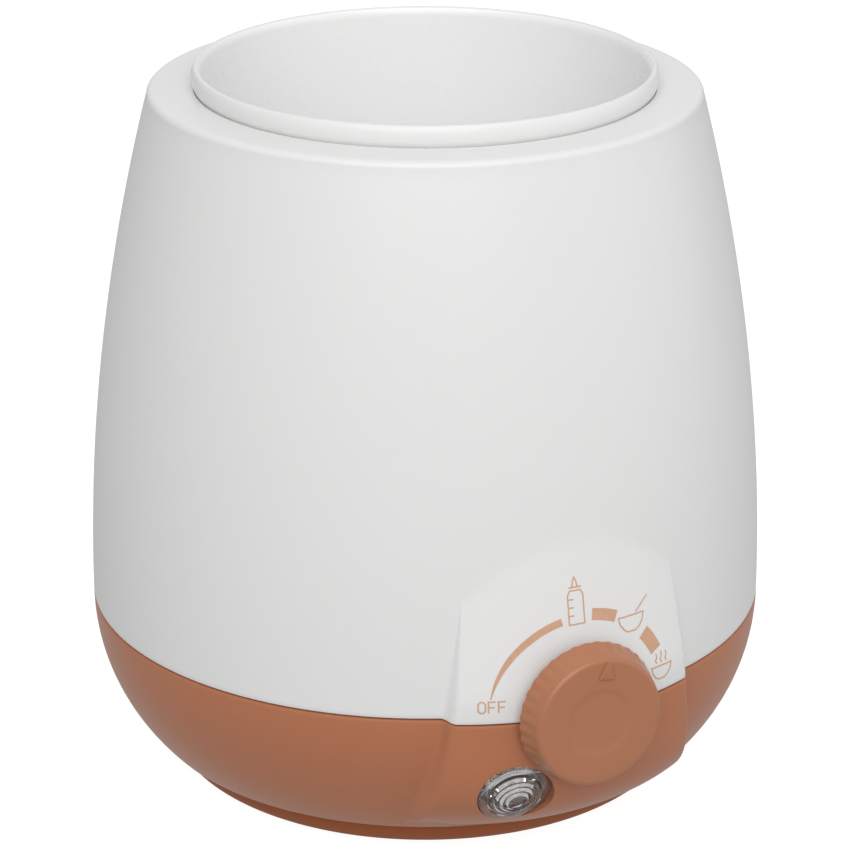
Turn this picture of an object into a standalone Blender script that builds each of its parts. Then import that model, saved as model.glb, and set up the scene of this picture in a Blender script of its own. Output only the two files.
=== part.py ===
"""Electric bottle warmer: a turned housing round a heated water cup, with a dial in a front console."""

import math

import bmesh
import bpy
from mathutils import Matrix, Vector

# Clearances, in metres like every length here, and the distance at which two corners are one
GAP = 0.0003
RUNNING_GAP = 0.0005
WELD = 0.000001

# Heights, stacked up from the floor
FOOT_PROUD = 0.0010
COVER_DEPTH = 0.0058
BASE_DEPTH = 0.0284
SIDE_HEIGHT = 0.1015
RIM_RISE = 0.0040

# Turned housing
SEAM_RADIUS = 0.0660
SHOULDER_RADIUS = 0.0524
SHOULDER_ROUND = 0.0025
SIDE_BULGE = 0.0034
BASE_ARC = 0.0402
WALL = 0.0024
FLANGE = 0.0024
FLANGE_INSET = 0.0275

# Front console, a turned bulge about its own upright axis with flared sides
CONSOLE_PROUD = 0.0040
CONSOLE_PLAN_RADIUS = 0.0540
CONSOLE_CREST = 0.0020
CONSOLE_TOP = 0.0500
CONSOLE_BEND = 0.0250
CONSOLE_LEAN = math.radians(10.8)
CONSOLE_TUCK = 0.0004
CONSOLE_FULLNESS = 4.4
CONSOLE_HALF_WIDTH = 0.0238
CONSOLE_PLAN_FLARE = 0.65
CONSOLE_SIDE_FLARE = 0.12
CONSOLE_BITE = 0.0300
CONSOLE_SIDE_WALL = 0.0031

# Screw bosses of the housing, set in from the seam's radius like the flange and the feet
BOSS_INSET = 0.0220
BOSS_RADIUS = 0.0038
BOSS_TOP_CLEARANCE = 0.0020
BOSS_COUNT = 4
RIB_THICKNESS = 0.0030

# Water cup, with its ledge measured up from the seam
CUP_RIM_RADIUS = 0.0433
CUP_RIM_WIDTH = 0.0040
CUP_WALL = 0.0022
CUP_FLOOR_RADIUS = 0.0380
LEDGE = 0.0025
LEDGE_RISE = 0.0155
LEDGE_WIDTH = 0.0080
LUG_PROUD = 0.0015
LUG_WIDTH = 0.0080
LUG_HEIGHT = 0.0050
LUG_COUNT = 3

# Heating plate and heater
SEAL_THICKNESS = 0.0010
SEAL_MARGIN = 0.0010
PLATE_THICKNESS = 0.0022
PLATE_MARGIN = 0.0015
PLATE_EDGE_ROUND = 0.0006
PLATE_BOSS_RADIUS = 0.0240
PLATE_BOSS_DROP = 0.0009
PLATE_HOLE_DEPTH = 0.0040
HEATER_LENGTH = 0.0320
HEATER_WIDTH = 0.0220
HEATER_THICKNESS = 0.0036
HEATER_TAB = Vector((0.0040, 0.0040, 0.0006))
HEATER_TAB_OFFSET = 0.0070
MICA_THICKNESS = 0.0005
MICA_MARGIN = 0.0008
CLAMP_THICKNESS = 0.0012
CLAMP_WIDTH = 0.0180
CLAMP_FOOT = 0.0057
CLAMP_SCREW_MARGIN = 0.0025

# Thermal fuse
FUSE_RADIUS = 0.0020
FUSE_LENGTH = 0.0110
FUSE_LEAD_RADIUS = 0.0005
FUSE_LEAD_LENGTH = 0.0035
FUSE_SETBACK = 0.0200
FUSE_CLIP_THICKNESS = 0.0006
FUSE_CLIP_WIDTH = 0.0050
FUSE_CLIP_FOOT = 0.0050

# Small and case screws
SCREW_RADIUS = 0.0014
SCREW_HEAD_RADIUS = 0.0026
SCREW_HEAD_HEIGHT = 0.0018
SCREW_TAPER = 0.5
SCREW_CROWN = 0.7
CASE_SCREW_RADIUS = 0.0015
CASE_SCREW_HEAD_RADIUS = 0.0028
CASE_SCREW_HEAD_HEIGHT = 0.0020
CASE_SCREW_GRIP = 0.0080
CASE_SCREW_SINK = 0.0005

# Thermostat, measured inwards from the console's face
KNOB_RISE = 0.0008
SPINDLE_RADIUS = 0.0030
SPINDLE_FLAT = 0.0020
SPINDLE_TIP_RADIUS = 0.0015
SPINDLE_TIP_LENGTH = 0.0010
THERMOSTAT_DEPTH = 0.0145
BRACKET_THICKNESS = 0.0015
BRACKET_LEFT = 0.0086
BRACKET_MARGIN = 0.0050
BRACKET_BELOW = 0.0062
BRACKET_SCREW_OFFSET = 0.0065
BRACKET_SCREW_SPREAD = 0.0056
BUSH_FLANGE_RADIUS = 0.0065
BUSH_FLANGE = 0.0015
BUSH_WALL = 0.0011
PIN_RADIUS = 0.0016
PIN_TAIL_RADIUS = 0.0007
PIN_TAIL_LENGTH = 0.0026
PIN_TRAVEL_GAP = 0.0007
STACK_OFFSET = 0.0170
SPACER_RADIUS = 0.0048
SPACER_THICKNESS = 0.0040
LEAF_THICKNESS = 0.0004
LEAF_WIDTH = 0.0070
LEAF_TAIL = 0.0130
LEAF_TAIL_WIDTH = 0.0050
LEAF_REACH = 0.0040
CONTACT_RADIUS = 0.0018
CONTACT_GAP = 0.0006
CONTACT_OFFSET = 0.0060
BIMETAL_THICKNESS = 0.0006
RIVET_RADIUS = 0.0015
RIVET_HEAD_RADIUS = 0.0030
RIVET_HEAD = 0.0010

# Knob
KNOB_RADIUS = 0.0138
KNOB_FACE_RADIUS = 0.0126
KNOB_HEIGHT = 0.0052
KNOB_WALL = 0.0018
KNOB_EDGE_ROUND = 0.0010
KNOB_DISH_RADIUS = 0.0072
KNOB_DISH_DEPTH = 0.0006
KNOB_FLUTES = 36
KNOB_FLUTE_DEPTH = 0.0003
HUB_RADIUS = 0.0052
HUB_LENGTH = 0.0065
POINTER_RADIUS = 0.0098
POINTER_SIZE = 0.0021
POINTER_PROUD = 0.0004
POINTER_REST = math.radians(7.0)

# Indicator lens and lamp
LENS_OFFSET = 0.0124
LENS_DROP = 0.0161
LENS_YAW = math.radians(-7.0)
LENS_PITCH = math.radians(24.0)
LENS_RADIUS = 0.0068
LENS_THICKNESS = 0.0016
LENS_SINK = 0.0022
LENS_NECK_RADIUS = 0.0050
LENS_NECK_WALL = 0.0012
LENS_NECK_LENGTH = 0.0058
LENS_RIM = 0.0018
LENS_SEAT = 0.0024
LAMP_RADIUS = 0.0028
LAMP_LENGTH = 0.0100
LAMP_DEPTH = 0.0035
LAMP_LEAD_RADIUS = 0.0006
LAMP_LEAD_LENGTH = 0.0020
HOLDER_WALL = 0.0012
HOLDER_OVERLAP = 0.0020
HOLDER_SLEEVE = 0.0040

# Bottom cover and feet
COVER_INSET = 0.0024
COVER_ROUND = 0.0058
COVER_FLOOR = 0.0030
COVER_RING_MARGIN = 0.0010
FOOT_RADIUS = 0.0050
FOOT_SEAT = 0.0014
FOOT_INSET = 0.0320
FOOT_COUNT = 4

# Cord inlet at the rear
INLET_DROP = 0.0140
INLET_SEAT_DEPTH = 0.0012
INLET_COLLAR = 0.0015
INLET_COLLAR_RISE = 0.0010
INLET_BOSS = 0.0058
GLAND_FLANGE_RADIUS = 0.0072
GLAND_FLANGE = 0.0016
GLAND_NECK_RADIUS = 0.0050
GLAND_BORE_RADIUS = 0.0034
GLAND_NUT_RADIUS = 0.0080
GLAND_NUT = 0.0035
GLAND_NUT_SIDES = 6
GLAND_TAIL = 0.0012

# Terminal block, and leads with their points measured from their first and last ends
TERMINAL_SIZE = Vector((0.0260, 0.0160, 0.0110))
TERMINAL_INSET = 0.0145
TERMINAL_PITCH = 0.0080
TERMINAL_HOLE_DEPTH = 0.0045
TERMINAL_SCREW_DEPTH = 0.0022
LEAD_RADIUS = 0.0009
LEAD_ENTRY = 0.0030
LEAD_SPLIT = 0.0024
LEAD_STUB = 0.0025
LEAD_SAMPLES = 2
LEAD_ROUTES = {
    "line_lead": (
        [(0.0042, 0.0042, -0.0063), (-0.0063, 0.0092, -0.0193)],
        [(0.0090, -0.0430, 0.0007), (0.0020, -0.0190, -0.0003)],
    ),
    "switched_lead": (
        [(-0.0053, 0.0057, -0.0030), (-0.0173, 0.0172, -0.0065)],
        [(0.0157, -0.0300, -0.0123), (0.0157, -0.0120, -0.0088), (0.0087, -0.0015, -0.0023)],
    ),
    "fuse_lead": (
        [(-0.0087, 0.0000, -0.0013)],
        [(-0.0022, 0.0085, -0.0015), (-0.0037, 0.0040, -0.0010)],
    ),
    "neutral_lead": (
        [(0.0040, -0.0048, -0.0020), (0.0007, -0.0110, -0.0075)],
        [(0.0100, -0.0350, 0.0152), (0.0030, -0.0210, 0.0042)],
    ),
    "lamp_line_lead": (
        [(0.0090, 0.0080, -0.0006)],
        [(-0.0163, 0.0032, -0.0091), (-0.0033, 0.0052, -0.0081), (0.0042, 0.0027, -0.0036)],
    ),
    "lamp_neutral_lead": (
        [(-0.0032, 0.0136, -0.0026)],
        [(-0.0060, -0.0390, 0.0032), (-0.0010, -0.0190, -0.0003)],
    ),
}

# Levels that follow from the heights above
COVER_BOTTOM = FOOT_PROUD
COVER_TOP = COVER_BOTTOM + COVER_DEPTH
BASE_BOTTOM = COVER_TOP + GAP
SEAM = BASE_BOTTOM + BASE_DEPTH
SHOULDER = SEAM + SIDE_HEIGHT
RIM = SHOULDER + RIM_RISE
LEDGE_TOP = SEAM + LEDGE_RISE
LEDGE_BOTTOM = LEDGE_TOP - LEDGE
SEAL_BOTTOM = LEDGE_TOP + GAP
PLATE_BOTTOM = SEAL_BOTTOM + SEAL_THICKNESS + GAP
PLATE_TOP = PLATE_BOTTOM + PLATE_THICKNESS
PLATE_BOSS_BOTTOM = LEDGE_BOTTOM - PLATE_BOSS_DROP
UNDER_BOSS = PLATE_BOSS_BOTTOM - GAP
PLATE_HOLE_TOP = PLATE_BOSS_BOTTOM + PLATE_HOLE_DEPTH
SCREW_TIP = PLATE_HOLE_TOP - GAP
HEATER_BOTTOM = UNDER_BOSS - HEATER_THICKNESS
MICA_BOTTOM = HEATER_BOTTOM - GAP - MICA_THICKNESS
CLAMP_TOP = MICA_BOTTOM - GAP
CLAMP_BOTTOM = CLAMP_TOP - CLAMP_THICKNESS
COVER_FLOOR_TOP = COVER_BOTTOM + COVER_FLOOR
FLANGE_TOP = BASE_BOTTOM + FLANGE
KNOB_AXIS_HEIGHT = SEAM + KNOB_RISE
CONSOLE_REACH = SEAM_RADIUS + CONSOLE_PROUD
CONSOLE_CENTRE = CONSOLE_REACH - CONSOLE_PLAN_RADIUS

# Openings and circles that follow from the radii above
LEDGE_OPENING = CUP_FLOOR_RADIUS - LEDGE_WIDTH
FLANGE_OPENING = SEAM_RADIUS - FLANGE_INSET
BOSS_CIRCLE = SEAM_RADIUS - BOSS_INSET
FOOT_CIRCLE = SEAM_RADIUS - FOOT_INSET
TERMINAL_SETBACK = FLANGE_OPENING - TERMINAL_INSET

# Depths in the thermostat's stack, along the knob's axis and negative inwards
BRACKET_FRONT = -THERMOSTAT_DEPTH
BRACKET_BACK = BRACKET_FRONT - BRACKET_THICKNESS
SPACER_FRONT = BRACKET_BACK - GAP
MOVING_LEAF = SPACER_FRONT - SPACER_THICKNESS - GAP
SPACER_MIDDLE = MOVING_LEAF - LEAF_THICKNESS - GAP
FIXED_LEAF = SPACER_MIDDLE - SPACER_THICKNESS - GAP
SPACER_REAR = FIXED_LEAF - LEAF_THICKNESS - GAP
BIMETAL = SPACER_REAR - SPACER_THICKNESS - GAP
RIVET_END = BIMETAL - BIMETAL_THICKNESS - GAP
BUSH_END = BRACKET_BACK - GAP
SPINDLE_END = BUSH_END - SPINDLE_TIP_LENGTH
KNOB_BACK = RUNNING_GAP
KNOB_FRONT = KNOB_BACK + KNOB_HEIGHT
KNOB_BORE_TOP = KNOB_FRONT - KNOB_DISH_DEPTH - KNOB_WALL

# Places that hold a screw or a wire
CLAMP_SCREW_X = HEATER_LENGTH / 2 + SCREW_RADIUS + CLAMP_SCREW_MARGIN
BRACKET_SCREW_Y = -HEATER_WIDTH / 2 - BRACKET_SCREW_OFFSET
FUSE_HEIGHT = UNDER_BOSS - FUSE_RADIUS
CLIP_SCREW_Y = FUSE_SETBACK - FUSE_RADIUS - GAP - FUSE_CLIP_THICKNESS - FUSE_CLIP_FOOT / 2
TERMINAL_BOTTOM = COVER_FLOOR_TOP + GAP
TERMINAL_HOLE_HEIGHT = TERMINAL_BOTTOM + TERMINAL_SIZE.z / 2

# Facets round a turned piece, and along its profile
LARGE_STEPS = 48
MEDIUM_STEPS = 20
SMALL_STEPS = 10
PROFILE_STEPS = 6
SIDE_STEPS = 10
ROUND_STEPS = 3
CUP_RIM_STEPS = 8

PARTS_NAME = "bottle_warmer"
CUTTERS_NAME = "cutters"


def clear_scene():
    """Remove every object, so that the script starts from an empty scene."""
    for item in list(bpy.data.objects):
        bpy.data.objects.remove(item, do_unlink=True)


def new_collection(name):
    collection = bpy.data.collections.new(name)
    bpy.context.scene.collection.children.link(collection)
    return collection


def make_material(name, colour, roughness, metallic=0.0, alpha=1.0):
    material = bpy.data.materials.new(name)
    material.use_nodes = True
    shader = material.node_tree.nodes["Principled BSDF"]
    shader.inputs["Base Color"].default_value = (*colour, 1.0)
    shader.inputs["Roughness"].default_value = roughness
    shader.inputs["Metallic"].default_value = metallic
    shader.inputs["Alpha"].default_value = alpha
    return material


def add_object(name, mesh, material=None):
    """Link a mesh as a part, or as a hidden wire cutter where it has no material."""
    item = bpy.data.objects.new(name, mesh)
    if material is None:
        bpy.data.collections[CUTTERS_NAME].objects.link(item)
        item.hide_render = True
        item.display_type = "WIRE"
    else:
        bpy.data.collections[PARTS_NAME].objects.link(item)
        mesh.materials.append(material)
    return item


def add_frame(name, matrix):
    """Empty that carries the pieces on one axis."""
    frame = bpy.data.objects.new(name, None)
    bpy.data.collections[PARTS_NAME].objects.link(frame)
    frame.matrix_world = matrix
    return frame


def smooth(item, sharp_angle=math.radians(30.0)):
    item.data.shade_smooth()
    item.data.set_sharp_from_angle(angle=sharp_angle)


def baked(item):
    """Swap an object's mesh for what its modifiers make of it."""
    bpy.context.view_layer.update()
    evaluated = item.evaluated_get(bpy.context.evaluated_depsgraph_get())
    item.data = bpy.data.meshes.new_from_object(evaluated)
    item.modifiers.clear()
    return item


def turned(name, profile, material=None, steps=MEDIUM_STEPS, ring=False):
    """Turn a profile of (radius, height) points about Z; it runs down the outer side."""
    mesh = bpy.data.meshes.new(name)
    edges = [(i, i + 1) for i in range(len(profile) - 1)]
    if ring:
        edges.append((len(profile) - 1, 0))
    mesh.from_pydata([(radius, 0.0, height) for radius, height in profile], edges, [])
    item = add_object(name, mesh, material)
    screw = item.modifiers.new("Turn", "SCREW")
    screw.axis = "Z"
    screw.angle = math.tau
    screw.steps = steps
    screw.render_steps = steps
    screw.use_merge_vertices = True
    screw.merge_threshold = WELD
    baked(item)
    smooth(item)
    return item


def rod(name, radius, low, high, material=None, steps=SMALL_STEPS):
    """Plain cylinder along Z."""
    return turned(name, [(0.0, high), (radius, high), (radius, low), (0.0, low)], material, steps)


def tube(name, outer, inner, low, high, material=None, steps=MEDIUM_STEPS):
    """Plain ring along Z."""
    profile = [(outer, high), (outer, low), (inner, low), (inner, high)]
    return turned(name, profile, material, steps, ring=True)


def block(name, low, high, material=None):
    """Box between two corners."""
    low = Vector(low)
    high = Vector(high)
    size = Matrix.Diagonal((*(high - low), 1.0))
    form = bmesh.new()
    bmesh.ops.create_cube(form, size=1.0, matrix=Matrix.Translation((low + high) / 2) @ size)
    mesh = bpy.data.meshes.new(name)
    form.to_mesh(mesh)
    form.free()
    return add_object(name, mesh, material)


def strip(name, outline, thickness, matrix, material=None):
    """Flat outline, extruded to a thickness centred on its plane and made a closed mesh."""
    curve = bpy.data.curves.new(name + "_outline", "CURVE")
    curve.dimensions = "2D"
    curve.fill_mode = "BOTH"
    curve.extrude = thickness / 2
    spline = curve.splines.new("POLY")
    spline.points.add(len(outline) - 1)
    for point, (x, y) in zip(spline.points, outline):
        point.co = (x, y, 0.0, 1.0)
    spline.use_cyclic_u = True
    guide = bpy.data.objects.new(name + "_outline", curve)
    bpy.data.collections[CUTTERS_NAME].objects.link(guide)
    bpy.context.view_layer.update()
    evaluated = guide.evaluated_get(bpy.context.evaluated_depsgraph_get())
    mesh = bpy.data.meshes.new_from_object(evaluated)
    form = bmesh.new()
    form.from_mesh(mesh)
    bmesh.ops.remove_doubles(form, verts=form.verts, dist=WELD)
    bmesh.ops.recalc_face_normals(form, faces=form.faces)
    form.to_mesh(mesh)
    form.free()
    bpy.data.objects.remove(guide, do_unlink=True)
    item = add_object(name, mesh, material)
    item.matrix_world = matrix
    return item


def place(item, frame=None, location=(0.0, 0.0, 0.0), rotation=(0.0, 0.0, 0.0)):
    """Put a piece at a place in a frame, or in the world."""
    item.parent = frame
    item.location = location
    item.rotation_euler = rotation
    return item


def staggered(item, steps, frame=None):
    """Turn a piece by half a facet, so that its corners keep off the edges of the piece it meets."""
    return place(item, frame, rotation=(0.0, 0.0, math.pi / steps))


def combine(item, tool, operation):
    modifier = item.modifiers.new(tool.name, "BOOLEAN")
    modifier.operation = operation
    modifier.solver = "EXACT"
    modifier.object = tool
    return item


def cut(item, tool):
    return combine(item, tool, "DIFFERENCE")


def join(item, tool):
    return combine(item, tool, "UNION")


def keep(item, tool):
    return combine(item, tool, "INTERSECT")


def spread(count, start=0.0):
    """Evenly spaced angles round the upright axis."""
    return [start + math.tau * i / count for i in range(count)]


def polar(radius, angle, height):
    return Vector((radius * math.cos(angle), radius * math.sin(angle), height))


def arc(centre, size, start, end, steps):
    """Points of (radius, height) along part of an ellipse, ends included."""
    angles = [start + (end - start) * i / steps for i in range(steps + 1)]
    return [(centre[0] + size[0] * math.cos(a), centre[1] + size[1] * math.sin(a)) for a in angles]


def side_radius(height):
    """Outer radius of the upper housing."""
    t = (height - SEAM) / SIDE_HEIGHT
    return SEAM_RADIUS + (SHOULDER_RADIUS - SEAM_RADIUS) * t + 4 * SIDE_BULGE * t * (1 - t)


def base_radius(height):
    """Outer radius of the base."""
    drop = SEAM - height
    return SEAM_RADIUS - BASE_ARC + math.sqrt(BASE_ARC ** 2 - drop ** 2)


def console_radius(height):
    """Distance of the console's face from the upright axis, in the front plane."""
    crest = SEAM + CONSOLE_CREST
    rise = height - crest
    if rise <= 0:
        inset = CONSOLE_REACH - base_radius(BASE_BOTTOM) + CONSOLE_TUCK
        fall = -rise / (crest - BASE_BOTTOM)
        return CONSOLE_REACH - inset * fall ** CONSOLE_FULLNESS
    bend_rise = CONSOLE_BEND * math.sin(CONSOLE_LEAN)
    if rise < bend_rise:
        return CONSOLE_REACH - CONSOLE_BEND + math.sqrt(CONSOLE_BEND ** 2 - rise ** 2)
    bent = CONSOLE_REACH - CONSOLE_BEND * (1 - math.cos(CONSOLE_LEAN))
    return bent - (rise - bend_rise) * math.tan(CONSOLE_LEAN)


def console_front(x, height):
    """Y of the console's face."""
    radius = console_radius(height) - CONSOLE_CENTRE
    return -CONSOLE_CENTRE - math.sqrt(radius ** 2 - x ** 2)


def cup_outer_radius(height):
    top = CUP_RIM_RADIUS - CUP_RIM_WIDTH / 2 + CUP_WALL
    floor = CUP_FLOOR_RADIUS + CUP_WALL
    return floor + (top - floor) * (height - LEDGE_BOTTOM) / (SHOULDER - LEDGE_BOTTOM)


def heights(low, high, count):
    """Heights from high to low, ends included."""
    return [high + (low - high) * i / count for i in range(count + 1)]


def body_profile(inset, bottom):
    """Turned outline of the housing and base, inset by a wall."""
    top = SHOULDER - inset
    corner = top - SHOULDER_ROUND
    lean = math.atan2(side_radius(corner) - side_radius(SHOULDER), SHOULDER - corner)
    centre = side_radius(corner) - inset - SHOULDER_ROUND
    profile = [(0.0, top)]
    profile += arc((centre, corner), (SHOULDER_ROUND, SHOULDER_ROUND), math.pi / 2, lean, ROUND_STEPS)
    profile += [(side_radius(z) - inset, z) for z in heights(SEAM, corner, PROFILE_STEPS)]
    profile += [(base_radius(z) - inset, z) for z in heights(bottom, SEAM, PROFILE_STEPS)[1:]]
    profile.append((0.0, bottom))
    return profile


def console_form(name, inset, side_inset, bottom):
    """Console bulge as a turned form trimmed by its two flared sides."""
    levels = heights(SEAM + CONSOLE_CREST, SEAM + CONSOLE_TOP, PROFILE_STEPS)
    levels += heights(bottom, SEAM + CONSOLE_CREST, PROFILE_STEPS + ROUND_STEPS)[1:]
    profile = [(0.0, levels[0])]
    profile += [(console_radius(z) - CONSOLE_CENTRE - inset, z) for z in levels]
    profile.append((0.0, levels[-1]))
    form = turned(name, profile, steps=LARGE_STEPS)
    form.location.y = -CONSOLE_CENTRE
    keep(form, console_sides(name + "_sides", side_inset))
    return form


def console_side(depth, height):
    """X of the console's flared right side, at a distance in front of the upright axis."""
    half = CONSOLE_HALF_WIDTH - CONSOLE_SIDE_FLARE * (height - SEAM)
    edge = -console_front(half, height)
    return half + CONSOLE_PLAN_FLARE * (edge - depth)


def console_sides(name, side_inset):
    """Form between the console's two sides, which start from the edges of its face at each level."""
    levels = heights(SEAM + CONSOLE_TOP, BASE_BOTTOM, SIDE_STEPS)
    form = bmesh.new()
    bmesh.ops.create_cube(form, size=1.0)
    upright = [edge for edge in form.edges if edge.verts[0].co.z != edge.verts[1].co.z]
    bmesh.ops.subdivide_edges(form, edges=upright, cuts=SIDE_STEPS - 1, use_grid_fill=True)
    for vertex in form.verts:
        level = levels[round((vertex.co.z + 0.5) * SIDE_STEPS)]
        depth = CONSOLE_REACH + CONSOLE_PROUD if vertex.co.y < 0 else CONSOLE_REACH - CONSOLE_BITE
        half = console_side(depth, level) - side_inset
        overshoot = GAP * (level - SEAM) / CONSOLE_TOP
        vertex.co = (math.copysign(half, vertex.co.x), -depth, level + overshoot)
    mesh = bpy.data.meshes.new(name)
    form.to_mesh(mesh)
    form.free()
    return add_object(name, mesh)


def shell_form(name, material, console, cavity):
    """Housing and base in one, hollowed, before they part at the seam."""
    shell = turned(name, body_profile(0.0, BASE_BOTTOM), material, LARGE_STEPS)
    join(shell, console)
    cut(shell, cavity)
    return shell


def half_space(name, low, high):
    reach = CONSOLE_REACH + SEAM_RADIUS
    return block(name, (-reach, -reach, low), (reach, reach, high))


def make_cavity():
    """Inner space of the two shells, less the thick seat behind the lens."""
    cavity = turned("cavity", body_profile(WALL, FLANGE_TOP), steps=LARGE_STEPS)
    join(cavity, console_form("console_cavity", WALL, CONSOLE_SIDE_WALL, FLANGE_TOP + GAP))
    seat_radius = LENS_RADIUS + RUNNING_GAP + LENS_RIM
    seat = rod("lens_seat", seat_radius, -LENS_SINK - LENS_SEAT, WALL, steps=MEDIUM_STEPS)
    cut(cavity, staggered(seat, MEDIUM_STEPS, bpy.data.objects["lens_axis"]))
    return cavity


def make_upper_housing(material, console, cavity):
    housing = shell_form("upper_housing", material, console, cavity)
    cut(housing, half_space("below_seam", BASE_BOTTOM - COVER_DEPTH, SEAM + GAP / 2))
    mouth = cup_outer_radius(SHOULDER) + GAP
    cut(housing, rod("cup_mouth", mouth, LEDGE_TOP, RIM, steps=LARGE_STEPS))
    boss_top = LEDGE_BOTTOM - BOSS_TOP_CLEARANCE
    wall_middle = side_radius(boss_top) - WALL / 2
    for i, angle in enumerate(spread(BOSS_COUNT, math.pi / BOSS_COUNT), 1):
        boss = rod(f"case_boss_{i}", BOSS_RADIUS, FLANGE_TOP + GAP, boss_top)
        rib = block(
            f"case_rib_{i}",
            (0.0, -RIB_THICKNESS / 2, SEAM + 3 * GAP),
            (wall_middle - BOSS_CIRCLE, RIB_THICKNESS / 2, boss_top - GAP),
        )
        hole_top = FLANGE_TOP + CASE_SCREW_GRIP + GAP
        hole = rod(f"case_hole_{i}", CASE_SCREW_RADIUS + GAP, BASE_BOTTOM, hole_top)
        seat = polar(BOSS_CIRCLE, angle, 0.0)
        join(housing, place(boss, location=seat))
        join(housing, place(rib, location=seat, rotation=(0.0, 0.0, angle)))
        cut(housing, place(hole, location=seat))
    cut(housing, bpy.data.objects["hub_hole"])


def make_base_shell(material, console, cavity):
    base = shell_form("base_shell", material, console, cavity)
    cut(base, half_space("above_seam", SEAM - GAP / 2, RIM))
    opening = rod("flange_opening", FLANGE_OPENING, COVER_BOTTOM, SEAM, steps=LARGE_STEPS)
    cut(base, staggered(opening, LARGE_STEPS))
    for i, angle in enumerate(spread(BOSS_COUNT, math.pi / BOSS_COUNT), 1):
        hole = rod(f"flange_hole_{i}", CASE_SCREW_RADIUS + GAP, COVER_BOTTOM, SEAM)
        cut(base, place(hole, location=polar(BOSS_CIRCLE, angle, 0.0)))
    cut(base, bpy.data.objects["hub_hole"])
    lens_axis = bpy.data.objects["lens_axis"]
    lens_seat = LENS_RADIUS + RUNNING_GAP
    cut(base, stepped_hole("lens_hole", lens_seat, LENS_NECK_RADIUS + GAP, -LENS_SINK, lens_axis))
    cable_axis = bpy.data.objects["cable_axis"]
    inlet_seat = GLAND_FLANGE_RADIUS + RUNNING_GAP
    collar_radius = inlet_seat + INLET_COLLAR
    collar = rod("inlet_collar", collar_radius, -INLET_BOSS, INLET_COLLAR_RISE, steps=MEDIUM_STEPS)
    join(base, staggered(collar, MEDIUM_STEPS, cable_axis))
    cut(base, stepped_hole("inlet_hole", inlet_seat, GLAND_NECK_RADIUS + GAP, 0.0, cable_axis))


def stepped_hole(name, seat_radius, bore_radius, seat, axis):
    """Cutter for a round seat and the narrower bore behind it."""
    reach = SEAM_RADIUS - base_radius(BASE_BOTTOM)
    profile = [
        (0.0, reach),
        (seat_radius, reach),
        (seat_radius, seat),
        (bore_radius, seat),
        (bore_radius, seat - reach),
        (0.0, seat - reach),
    ]
    return place(turned(name, profile), axis)


def make_water_cup(material):
    lip = CUP_RIM_WIDTH / 2
    inner_top = CUP_RIM_RADIUS - lip
    profile = arc((CUP_RIM_RADIUS, RIM - lip), (lip, lip), math.pi, 0.0, CUP_RIM_STEPS)
    profile += [
        (CUP_RIM_RADIUS + lip, SHOULDER + GAP),
        (cup_outer_radius(SHOULDER), SHOULDER + GAP),
        (cup_outer_radius(LEDGE_BOTTOM), LEDGE_BOTTOM),
        (LEDGE_OPENING, LEDGE_BOTTOM),
        (LEDGE_OPENING, LEDGE_TOP),
        (CUP_FLOOR_RADIUS, LEDGE_TOP),
        (CUP_FLOOR_RADIUS + (inner_top - CUP_FLOOR_RADIUS) / 2, (LEDGE_TOP + RIM - lip) / 2),
    ]
    cup = turned("water_cup", profile, material, LARGE_STEPS, ring=True)
    lug_top = SHOULDER - WALL - GAP
    for i, angle in enumerate(spread(LUG_COUNT, math.pi / 2), 1):
        outer = cup_outer_radius(lug_top)
        lug = block(
            f"cup_lug_{i}",
            (outer - CUP_WALL / 2, -LUG_WIDTH / 2, lug_top - LUG_HEIGHT),
            (outer + LUG_PROUD, LUG_WIDTH / 2, lug_top),
        )
        join(cup, place(lug, rotation=(0.0, 0.0, angle)))


def make_plate_seal(material):
    outer = CUP_FLOOR_RADIUS - PLATE_MARGIN - SEAL_MARGIN
    inner = LEDGE_OPENING + SEAL_MARGIN
    tube("plate_seal", outer, inner, SEAL_BOTTOM, SEAL_BOTTOM + SEAL_THICKNESS, material, LARGE_STEPS)


def make_heating_plate(material):
    radius = CUP_FLOOR_RADIUS - PLATE_MARGIN
    profile = [
        (0.0, PLATE_TOP),
        (radius - PLATE_EDGE_ROUND, PLATE_TOP),
        (radius, PLATE_TOP - PLATE_EDGE_ROUND),
        (radius, PLATE_BOTTOM),
        (PLATE_BOSS_RADIUS, PLATE_BOTTOM),
        (PLATE_BOSS_RADIUS, PLATE_BOSS_BOTTOM),
        (0.0, PLATE_BOSS_BOTTOM),
    ]
    plate = turned("heating_plate", profile, material, LARGE_STEPS)
    for i, (x, y) in enumerate(plate_screw_places(), 1):
        hole = rod(f"plate_hole_{i}", SCREW_RADIUS + GAP, CLAMP_BOTTOM, PLATE_HOLE_TOP)
        cut(plate, place(hole, location=(x, y, 0.0)))


def plate_screw_places():
    """Screws into the plate's boss: two each for the clamp and the bracket, one for the fuse clip."""
    return [
        (-CLAMP_SCREW_X, 0.0),
        (CLAMP_SCREW_X, 0.0),
        (-BRACKET_SCREW_SPREAD, BRACKET_SCREW_Y),
        (BRACKET_SCREW_SPREAD, BRACKET_SCREW_Y),
        (0.0, CLIP_SCREW_Y),
    ]


def screw_profile(radius, head_radius, head_height, low, seat, tip):
    """Pan-head screw standing on its head, with the head's flat at seat."""
    return [
        (0.0, tip),
        (radius * SCREW_TAPER, tip),
        (radius, tip - radius * SCREW_TAPER),
        (radius, seat),
        (head_radius, seat),
        (head_radius, seat - head_height * SCREW_TAPER),
        (head_radius * SCREW_CROWN, low),
        (0.0, low),
    ]


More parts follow.
